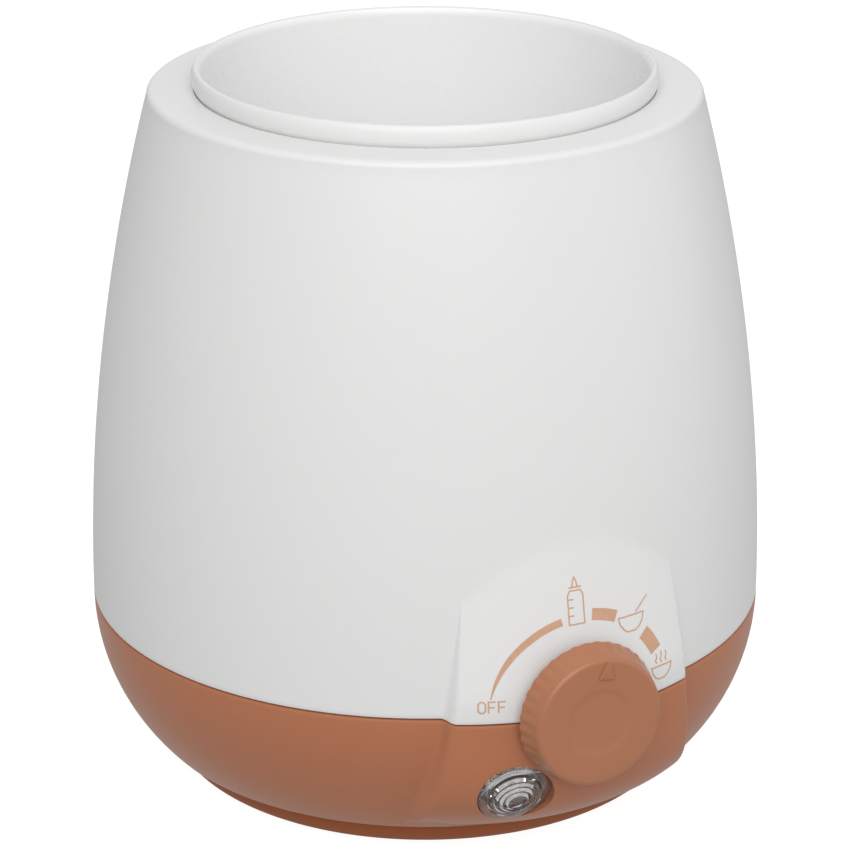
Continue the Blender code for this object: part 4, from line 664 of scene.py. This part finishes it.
def knob_rings():
    """Rings of the knob's fluted body, from the middle of its dish round to the end of its hub."""
    dish = KNOB_FRONT - DISH_SHOW
    profile = [(0.0, dish, 0.0), (0.002, dish, 0.0), (0.004, dish, 0.0)]
    floor = KNOB_DISH_RADIUS - 0.0020
    for i in range(13):
        share = i / 12
        rise = share * share * (3 - 2 * share)
        profile.append((floor + (KNOB_DISH_RADIUS - floor) * share, dish + DISH_SHOW * rise, 0.0))
    edge = (KNOB_FACE_RADIUS - KNOB_EDGE_ROUND, KNOB_FRONT - KNOB_EDGE_ROUND)
    profile += [(0.0085, KNOB_FRONT, 0.0), (0.0100, KNOB_FRONT, 0.0)]
    rounding = arc(edge, KNOB_EDGE_ROUND, 90.0, 8.0, 8)
    profile += [(r, z, 0.0) for r, z in rounding]
    for i in range(1, 11):
        share = i / 10
        r = KNOB_FACE_RADIUS + (KNOB_RADIUS - KNOB_FACE_RADIUS) * share
        z = edge[1] + (KNOB_BACK - edge[1]) * share
        profile.append((r, z, min(1.0, share * 1.5)))
    bore_top = KNOB_FRONT - KNOB_DISH_DEPTH - KNOB_WALL
    hub_end = KNOB_BACK - HUB_LENGTH
    profile += [(KNOB_RADIUS - KNOB_WALL, KNOB_BACK, 0.0), (KNOB_FACE_RADIUS - KNOB_WALL, bore_top, 0.0)]
    profile += [(HUB_RADIUS, bore_top, 0.0), (HUB_RADIUS, hub_end, 0.0)]
    bore = SPINDLE_RADIUS + GAP
    profile += [(bore, hub_end, 0.0), (bore, bore_top, 0.0), (0.0, bore_top, 0.0)]
    steps = KNOB_FLUTES * 10
    rings = []
    for radius, z, depth in profile:
        ring = []
        for i in range(steps):
            angle = math.tau * i / steps
            hollow = 0.5 - 0.5 * math.cos(KNOB_FLUTES * angle)
            r = radius - depth * FLUTE_SHOW * hollow
            ring.append((r * math.cos(angle), r * math.sin(angle), z))
        rings.append(ring)
    return rings


def make_control_knob(material):
    body = outward(grid_mesh("knob_body", knob_rings(), False))
    pointer = bmesh.new()
    levels = [(-0.0006, 1.0), (POINTER_PROUD * 0.55, 1.0)]
    levels += [(POINTER_PROUD * 0.9, 0.93), (POINTER_PROUD, 0.82)]
    layers = []
    for z, scale in levels:
        layer = []
        for i in range(3):
            angle = math.pi / 2 + math.tau * i / 3
            spot = Vector((math.cos(angle), math.sin(angle), 0.0)) * POINTER_SHAPE * POINTER_SIZE * scale
            for turn in (-0.10, 0.0, 0.10):
                soft = Matrix.Rotation(turn, 3, "Z") @ spot * (0.94 if turn else 0.97)
                layer.append(pointer.verts.new(soft + Vector((0.0, POINTER_RADIUS, KNOB_FRONT + z))))
        layers.append(layer)
    for low, high in zip(layers, layers[1:]):
        for i in range(len(low)):
            k = (i + 1) % len(low)
            pointer.faces.new((low[i], low[k], high[k], high[i]))
    pointer.faces.new(layers[-1])
    pointer.faces.new(layers[0][::-1])
    pointer_mesh = bpy.data.meshes.new("pointer")
    pointer.to_mesh(pointer_mesh)
    pointer.free()
    mesh = merged("knob", [body, outward(pointer_mesh)])
    mesh.transform(outwards_axis() @ Matrix.Rotation(-POINTER_REST, 4, "Z"))
    piece = new_piece("control_knob_moulding", mesh, material)
    shade(piece, 40.0)
    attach(piece, "knob")
    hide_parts("control_knob")


def make_lens(material):
    """Clear lens with a sloped rim, concentric prism rings and a tubular neck."""
    seat = -LENS_SINK + GAP
    front = seat + LENS_THICKNESS
    crown = front + LENS_DOME
    profile = [(0.0, crown - 0.00015), (0.0005, crown - 0.00022), (0.0010, crown - 0.00034)]
    ring_start = 0.0013
    pitch = 0.00095
    for i in range(4):
        inner = ring_start + pitch * i
        top = crown - LENS_DOME / 4 * i
        profile += [(inner, top - 0.00040), (inner + 0.22 * pitch, top - 0.00006)]
        profile += [(inner + 0.42 * pitch, top), (inner + 0.62 * pitch, top - 0.00006)]
        profile += [(inner + 0.88 * pitch, top - 0.00036)]
    outer = ring_start + 4 * pitch
    profile += [(outer, front - 0.00045), (outer + 0.0002, front - 0.00045)]
    profile += [(outer + 0.0004, front - 0.0002)]
    profile += arc((LENS_SHOW - 0.0004, front - LENS_THICKNESS * 0.60), 0.0004, 60.0, 0.0, 4)
    profile += [(LENS_SHOW, seat), (LENS_NECK_RADIUS, seat)]
    profile += [(LENS_NECK_RADIUS, seat - LENS_NECK_LENGTH), (LENS_NECK_BORE, seat - LENS_NECK_LENGTH)]
    profile += [(LENS_NECK_BORE, seat), (0.0, seat)]
    mesh = moved(lathe("lens", profile, 128), lens_axis())
    piece = new_piece("lamp_lens_moulding", mesh, material)
    shade(piece, 28.0)
    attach(piece, "body")
    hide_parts("lamp_lens")


# Dial print: (x, z) in metres, z from the seam
KNOB_CENTRE = (0.0, 0.0008)
ARC_STOPS = (
    (-76.5, 0.01825, 0.01840), (-66.0, 0.01788, 0.01850), (-51.0, 0.01740, 0.01852),
    (-36.0, 0.01710, 0.01838), (-12.5, 0.01690, 0.01830),
)
BARS = ((7.4, 24.2, 0.01672, 0.01890), (48.3, 64.2, 0.01642, 0.01905))
STROKE = 0.00026
BOTTLE = [
    [(-0.0024, 0.0172), (0.0007, 0.0172), (0.0007, 0.0225), (0.0002, 0.0234), (-0.0019, 0.0234),
     (-0.0024, 0.0225), (-0.0024, 0.0172)],
    [(-0.0021, 0.0240), (0.0004, 0.0240)],
    [(-0.0014, 0.0240), (-0.0012, 0.0252), (-0.0009, 0.0259), (-0.0006, 0.0252), (-0.0003, 0.0240)],
    [(-0.0024, 0.0188), (-0.0013, 0.0188)],
    [(-0.0024, 0.0203), (-0.0013, 0.0203)],
    [(-0.0024, 0.0218), (-0.0013, 0.0218)],
]
SPOON_BOWL = [
    [(0.0078, 0.0164), (0.0136, 0.0164), (0.0132, 0.0150), (0.0124, 0.0140), (0.0116, 0.0135),
     (0.0098, 0.0135), (0.0090, 0.0140), (0.0082, 0.0150), (0.0078, 0.0164)],
    [(0.0118, 0.0168), (0.0130, 0.0178), (0.0142, 0.0188), (0.0147, 0.0192)],
]
STEAM_BOWL = [
    [(0.0147, 0.0052), (0.0196, 0.0052), (0.0193, 0.0040), (0.0186, 0.0031), (0.0179, 0.0027),
     (0.0164, 0.0027), (0.0157, 0.0031), (0.0150, 0.0040), (0.0147, 0.0052)],
    [(0.0160, 0.0058), (0.0157, 0.0064), (0.0161, 0.0070), (0.0159, 0.0077)],
    [(0.0172, 0.0058), (0.0169, 0.0065), (0.0173, 0.0072), (0.0171, 0.0080)],
    [(0.0184, 0.0058), (0.0181, 0.0064), (0.0185, 0.0070), (0.0183, 0.0077)],
]
OFF_LEFT = -0.0200
OFF_LOW = 0.0025
OFF_HIGH = 0.00465
LETTER_WIDTH = 0.00125
LETTER_STEP = 0.00176


def word_strokes():
    """The word OFF in plain strokes."""
    strokes = []
    middle = (OFF_LOW + OFF_HIGH) / 2
    left = OFF_LEFT
    right = left + LETTER_WIDTH
    cut = 0.0004
    strokes.append([
        (left + cut, OFF_LOW), (right - cut, OFF_LOW), (right, OFF_LOW + cut), (right, OFF_HIGH - cut),
        (right - cut, OFF_HIGH), (left + cut, OFF_HIGH), (left, OFF_HIGH - cut), (left, OFF_LOW + cut),
        (left + cut, OFF_LOW),
    ])
    for i in (1, 2):
        left = OFF_LEFT + LETTER_STEP * i
        strokes.append([(left, OFF_LOW), (left, OFF_HIGH), (left + LETTER_WIDTH, OFF_HIGH)])
        strokes.append([(left, middle), (left + LETTER_WIDTH * 0.85, middle)])
    return strokes


def polar(degrees, radius):
    angle = math.radians(degrees)
    return KNOB_CENTRE[0] + radius * math.sin(angle), KNOB_CENTRE[1] + radius * math.cos(angle)


def band(stops, steps):
    """Flat patch between an inner and an outer edge that run through (angle, inner, outer) stops."""
    quads = []
    angles = np.linspace(stops[0][0], stops[-1][0], steps + 1)
    inner = np.interp(angles, [s[0] for s in stops], [s[1] for s in stops])
    outer = np.interp(angles, [s[0] for s in stops], [s[2] for s in stops])
    rows = 3
    lines = []
    for angle, low, high in zip(angles, inner, outer):
        lines.append([polar(angle, low + (high - low) * i / rows) for i in range(rows + 1)])
    for a, b in zip(lines, lines[1:]):
        for i in range(rows):
            quads.append((a[i], a[i + 1], b[i + 1], b[i]))
    return quads


def stroke_quads(points):
    """Flat ribbon of one stroke width along a line of points, mitred at its bends."""
    path = [Vector(point) for point in points]
    closed = (path[0] - path[-1]).length < 0.000001
    sides = []
    for i, spot in enumerate(path):
        before = path[i - 1] if i else (path[-2] if closed else spot - (path[1] - spot))
        after = path[i + 1] if i + 1 < len(path) else (path[1] if closed else spot + (spot - path[-2]))
        a = (spot - before).normalized()
        b = (after - spot).normalized()
        along = (a + b).normalized()
        normal = Vector((-along.y, along.x))
        width = STROKE / 2 / max(0.5, normal.dot(Vector((-a.y, a.x))))
        sides.append((spot + normal * width, spot - normal * width))
    quads = []
    for (a, b), (c, d) in zip(sides, sides[1:]):
        parts = max(1, round((c - a).length / 0.0007))
        for i in range(parts):
            s = i / parts
            t = (i + 1) / parts
            quads.append((a.lerp(c, s), b.lerp(d, s), b.lerp(d, t), a.lerp(c, t)))
    return quads


def print_piece(name, quads, material):
    """Thin printed patch that follows the console's face."""
    form = bmesh.new()
    for quad in quads:
        corners_up = [form.verts.new(face_point(x, SEAM + z, PRINT_LIFT)) for x, z in quad]
        face = form.faces.new(corners_up)
        face.normal_update()
        if face.normal.y > 0:
            face.normal_flip()
    bmesh.ops.remove_doubles(form, verts=form.verts, dist=0.000002)
    bmesh.ops.recalc_face_normals(form, faces=form.faces)
    if sum(face.normal.y for face in form.faces) > 0:
        bmesh.ops.reverse_faces(form, faces=form.faces)
    mesh = bpy.data.meshes.new(name)
    form.to_mesh(mesh)
    form.free()
    piece = new_piece(name, mesh, material)
    shade(piece)
    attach(piece, "body")


def make_dial_print(material):
    print_piece("print_range_arc", band(ARC_STOPS, 60), material)
    for i, (start, end, inner, outer) in enumerate(BARS, 1):
        print_piece(f"print_bar_{i}", band(((start, inner, outer), (end, inner, outer)), 16), material)
    marks = {
        "print_off": word_strokes(),
        "print_bottle": BOTTLE,
        "print_spoon_bowl": SPOON_BOWL,
        "print_steam_bowl": STEAM_BOWL,
    }
    for name, strokes in marks.items():
        quads = [quad for stroke in strokes for quad in stroke_quads(stroke)]
        print_piece(name, quads, material)


def link(tree, source, target):
    tree.links.new(source, target)


def finish(
    name, dark, light, scale, roughness, bump, metallic=0.0, specular=0.5, stretch=(1.0, 1.0, 1.0)
):
    """Procedural finish: two close tones, uneven gloss and a fine grain."""
    material = bpy.data.materials.new(name)
    material.use_nodes = True
    tree = material.node_tree
    shader = tree.nodes["Principled BSDF"]
    shader.inputs["Metallic"].default_value = metallic
    shader.inputs["Specular IOR Level"].default_value = specular
    coords = tree.nodes.new("ShaderNodeTexCoord")
    mapping = tree.nodes.new("ShaderNodeMapping")
    mapping.inputs["Scale"].default_value = stretch
    link(tree, coords.outputs["Object"], mapping.inputs["Vector"])
    clouds = tree.nodes.new("ShaderNodeTexNoise")
    clouds.inputs["Scale"].default_value = scale
    clouds.inputs["Detail"].default_value = 5.0
    link(tree, mapping.outputs["Vector"], clouds.inputs["Vector"])
    tones = tree.nodes.new("ShaderNodeValToRGB")
    tones.color_ramp.elements[0].position = 0.30
    tones.color_ramp.elements[0].color = (*dark, 1.0)
    tones.color_ramp.elements[1].position = 0.70
    tones.color_ramp.elements[1].color = (*light, 1.0)
    link(tree, clouds.outputs["Fac"], tones.inputs["Fac"])
    link(tree, tones.outputs["Color"], shader.inputs["Base Color"])
    gloss = tree.nodes.new("ShaderNodeMapRange")
    gloss.inputs["From Min"].default_value = 0.3
    gloss.inputs["From Max"].default_value = 0.7
    gloss.inputs["To Min"].default_value = roughness[0]
    gloss.inputs["To Max"].default_value = roughness[1]
    link(tree, clouds.outputs["Fac"], gloss.inputs["Value"])
    link(tree, gloss.outputs["Result"], shader.inputs["Roughness"])
    grain = tree.nodes.new("ShaderNodeTexNoise")
    grain.inputs["Scale"].default_value = scale * 9.0
    grain.inputs["Detail"].default_value = 3.0
    link(tree, mapping.outputs["Vector"], grain.inputs["Vector"])
    relief = tree.nodes.new("ShaderNodeBump")
    relief.inputs["Strength"].default_value = bump
    relief.inputs["Distance"].default_value = 0.0001
    link(tree, grain.outputs["Fac"], relief.inputs["Height"])
    link(tree, relief.outputs["Normal"], shader.inputs["Normal"])
    return material


def clear_finish(name, tint, roughness):
    """Clear moulded plastic with a trace of haze."""
    material = finish(name, tint, (0.97, 0.97, 0.98), 300.0, roughness, 0.05)
    shader = material.node_tree.nodes["Principled BSDF"]
    shader.inputs["Transmission Weight"].default_value = 0.97
    shader.inputs["IOR"].default_value = 1.49
    return material


def turned_metal(name, dark, light):
    """Aluminium with fine rings from the lathe."""
    material = finish(name, dark, light, 60.0, (0.24, 0.36), 0.0, metallic=1.0)
    tree = material.node_tree
    coords = tree.nodes.new("ShaderNodeTexCoord")
    rings = tree.nodes.new("ShaderNodeTexWave")
    rings.wave_type = "RINGS"
    rings.rings_direction = "Z"
    rings.inputs["Scale"].default_value = 420.0
    rings.inputs["Distortion"].default_value = 1.5
    rings.inputs["Detail"].default_value = 3.0
    link(tree, coords.outputs["Object"], rings.inputs["Vector"])
    relief = tree.nodes.new("ShaderNodeBump")
    relief.inputs["Strength"].default_value = 0.12
    relief.inputs["Distance"].default_value = 0.0001
    link(tree, rings.outputs["Fac"], relief.inputs["Height"])
    link(tree, relief.outputs["Normal"], tree.nodes["Principled BSDF"].inputs["Normal"])
    return material


def make_finishes():
    return {
        "gloss_white": finish(
            "gloss_white_look", (0.797, 0.797, 0.792), (0.801, 0.801, 0.796),
            260.0, (0.33, 0.37), 0.006),
        # A brighter copy of the gloss white for the cup's inside: painted light.
        "lit_cup_inside_white": finish(
            "lit_cup_inside_white_look", (0.912, 0.912, 0.907), (0.914, 0.914, 0.909),
            2500.0, (0.27, 0.29), 0.006),
        "caramel_plastic": finish(
            "caramel_look", (0.464, 0.167, 0.077), (0.476, 0.171, 0.080),
            1600.0, (0.30, 0.34), 0.02),
        "knob": finish(
            "caramel_knob_look", (0.432, 0.173, 0.085), (0.440, 0.177, 0.088),
            2000.0, (0.28, 0.32), 0.02),
        # A darker copy of the caramel plastic for the bottom cover: painted shade, for the shadow under
        # the base's overhang.
        "umber_plastic": finish(
            "caramel_painted_shade_look", (0.330, 0.092, 0.030), (0.355, 0.101, 0.034),
            300.0, (0.50, 0.62), 0.10, specular=0.2),
        "clear_plastic": clear_finish("clear_lens_look", (0.96, 0.91, 0.89), (0.06, 0.10)),
        "aluminium": turned_metal("turned_aluminium_look", (0.70, 0.71, 0.73), (0.80, 0.81, 0.83)),
        "heater_aluminium": finish(
            "heater_aluminium_look", (0.66, 0.67, 0.69), (0.80, 0.81, 0.83), 160.0, (0.30, 0.48), 0.25,
            metallic=1.0, stretch=(1.0, 0.1, 1.0)),
        "zinc_steel": finish(
            "zinc_steel_look", (0.52, 0.52, 0.53), (0.68, 0.68, 0.70),
            260.0, (0.26, 0.45), 0.20, metallic=1.0),
        "brass": finish(
            "brass_look", (0.62, 0.44, 0.17), (0.76, 0.58, 0.27),
            240.0, (0.22, 0.38), 0.15, metallic=1.0),
        "spring_bronze": finish(
            "spring_bronze_look", (0.56, 0.33, 0.16), (0.70, 0.46, 0.26), 260.0, (0.25, 0.42), 0.15,
            metallic=1.0, stretch=(0.2, 1.0, 1.0)),
        "ceramic": finish(
            "ceramic_look", (0.72, 0.70, 0.64), (0.82, 0.80, 0.75), 320.0, (0.55, 0.72), 0.30),
        "mica": finish(
            "mica_look", (0.50, 0.43, 0.31), (0.68, 0.61, 0.47), 220.0, (0.35, 0.60), 0.35),
        "silicone": finish(
            "silicone_look", (0.60, 0.26, 0.17), (0.72, 0.34, 0.24), 180.0, (0.55, 0.70), 0.15),
        "rubber": finish(
            "rubber_look", (0.030, 0.030, 0.031), (0.055, 0.055, 0.056), 300.0, (0.70, 0.88), 0.45),
        "black_nylon": finish(
            "black_nylon_look", (0.020, 0.020, 0.021), (0.038, 0.038, 0.040), 260.0, (0.38, 0.55), 0.30),
        "ivory_nylon": finish(
            "ivory_nylon_look", (0.72, 0.69, 0.59), (0.82, 0.79, 0.70), 200.0, (0.38, 0.52), 0.15),
        "brown_insulation": finish(
            "brown_insulation_look", (0.15, 0.065, 0.034), (0.24, 0.11, 0.062),
            260.0, (0.40, 0.55), 0.20),
        "blue_insulation": finish(
            "blue_insulation_look", (0.035, 0.12, 0.36), (0.065, 0.19, 0.50), 260.0, (0.40, 0.55), 0.20),
        "print": finish(
            "dial_print_look", (0.62, 0.355, 0.225), (0.68, 0.40, 0.26), 700.0, (0.40, 0.52), 0.15),
    }


CARRIED = {
    "silicone": ["plate_seal"],
    "heater_aluminium": ["ptc_heater"],
    "zinc_steel": [
        "clamp_screw_left", "clamp_screw_right", "bracket_screw_left", "bracket_screw_right",
        "fuse_clip_screw", "heater_clamp", "fuse_clip", "thermostat_bracket", "bimetal_blade",
        "stack_rivet", "terminal_screw",
    ],
    "mica": ["mica_sheet"],
    "ceramic": [
        "thermal_fuse", "adjuster_pin", "stack_spacer_front", "stack_spacer_middle", "stack_spacer_rear",
    ],
    "brass": ["spindle_bush", "spindle"],
    "spring_bronze": ["moving_contact_leaf", "fixed_contact_leaf"],
    "clear_plastic": ["neon_lamp"],
    "ivory_nylon": ["lamp_holder", "terminal_block"],
    "black_nylon": ["gland_nut"],
    "brown_insulation": ["line_lead", "switched_lead", "fuse_lead", "lamp_line_lead"],
    "blue_insulation": ["neutral_lead", "lamp_neutral_lead"],
}


def dress_inner_nodes(finishes):
    """Give each node that keeps its solid a finish with detail."""
    for finish_name, names in CARRIED.items():
        for name in names:
            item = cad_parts[name]
            item.data.materials.clear()
            item.data.materials.append(finishes[finish_name])


# Camera and lights; softboxes are (name, azimuth, elevation, distance, size, power)
CAMERA_SENSOR = 36.0
CAMERA_LENS = 141.22
CAMERA_PLACE = (-0.2567, -0.5555, 0.3047)
CAMERA_TURN = (math.radians(68.81), 0.0, math.radians(-24.8))
LIGHT_TARGET = Vector((0.0, 0.0, 0.07))
FLOOR_HALF = 6.0
FLOOR_GLOW = 0.93
SURROUND = 0.49
SOFTBOXES = (
    ("key_softbox", -25.0, 45.0, 1.3, 1.4, 12.6),
    ("right_softbox", 65.0, 15.0, 1.3, 1.4, 2.3),
    ("back_softbox", 155.0, 25.0, 1.4, 1.4, 1.9),
)


def make_camera():
    camera = bpy.data.cameras.new("photo_camera")
    camera.sensor_width = CAMERA_SENSOR
    camera.lens = CAMERA_LENS
    camera.clip_start = 0.01
    camera.clip_end = 20.0
    item = bpy.data.objects.new("photo_camera", camera)
    item.location = CAMERA_PLACE
    item.rotation_euler = CAMERA_TURN
    bpy.context.scene.collection.objects.link(item)
    bpy.context.scene.camera = item


def add_softbox(name, azimuth, elevation, distance, size, power):
    """Square area light round the object, aimed at its middle."""
    lamp = bpy.data.lights.new(name, "AREA")
    lamp.size = size
    lamp.energy = power
    item = bpy.data.objects.new(name, lamp)
    turn = math.radians(azimuth)
    lift = math.radians(elevation)
    way = Vector((math.sin(turn) * math.cos(lift), -math.cos(turn) * math.cos(lift), math.sin(lift)))
    item.location = LIGHT_TARGET + way * distance
    item.rotation_euler = (-way).to_track_quat("-Z", "Y").to_euler()
    bpy.context.scene.collection.objects.link(item)


def make_stage():
    """Pale floor, soft surround and softboxes."""
    form = bmesh.new()
    bmesh.ops.create_grid(form, x_segments=4, y_segments=4, size=FLOOR_HALF)
    mesh = bpy.data.meshes.new("studio_floor")
    form.to_mesh(mesh)
    form.free()
    material = bpy.data.materials.new("studio_floor_look")
    material.use_nodes = True
    shader = material.node_tree.nodes["Principled BSDF"]
    shader.inputs["Base Color"].default_value = (0.25, 0.25, 0.25, 1.0)
    shader.inputs["Roughness"].default_value = 0.9
    shader.inputs["Specular IOR Level"].default_value = 0.1
    shader.inputs["Emission Color"].default_value = (1.0, 1.0, 1.0, 1.0)
    shader.inputs["Emission Strength"].default_value = FLOOR_GLOW
    floor = new_piece("studio_floor", mesh, material)
    floor.visible_diffuse = False
    floor.visible_glossy = False
    floor.visible_transmission = False
    floor.visible_shadow = False
    world = bpy.data.worlds.new("studio_surround")
    world.use_nodes = True
    surround = world.node_tree.nodes["Background"]
    surround.inputs["Color"].default_value = (1.0, 1.0, 1.0, 1.0)
    surround.inputs["Strength"].default_value = SURROUND
    bpy.context.scene.world = world
    for softbox in SOFTBOXES:
        add_softbox(*softbox)
    bpy.context.scene.view_settings.view_transform = "Standard"


def main():
    make_camera()
    make_stage()
    finishes = make_finishes()
    make_upper_housing(finishes["gloss_white"])
    make_base_shell(finishes["caramel_plastic"])
    make_water_cup(finishes["gloss_white"], finishes["lit_cup_inside_white"])
    make_heating_plate(finishes["aluminium"])
    # The bottom cover's darker caramel is painted shade.
    make_bottom_cover(finishes["umber_plastic"])
    make_feet(finishes["rubber"])
    make_case_screws(finishes["zinc_steel"])
    make_cable_gland(finishes["black_nylon"])
    make_control_knob(finishes["knob"])
    make_lens(finishes["clear_plastic"])
    make_dial_print(finishes["print"])
    dress_inner_nodes(finishes)


main()
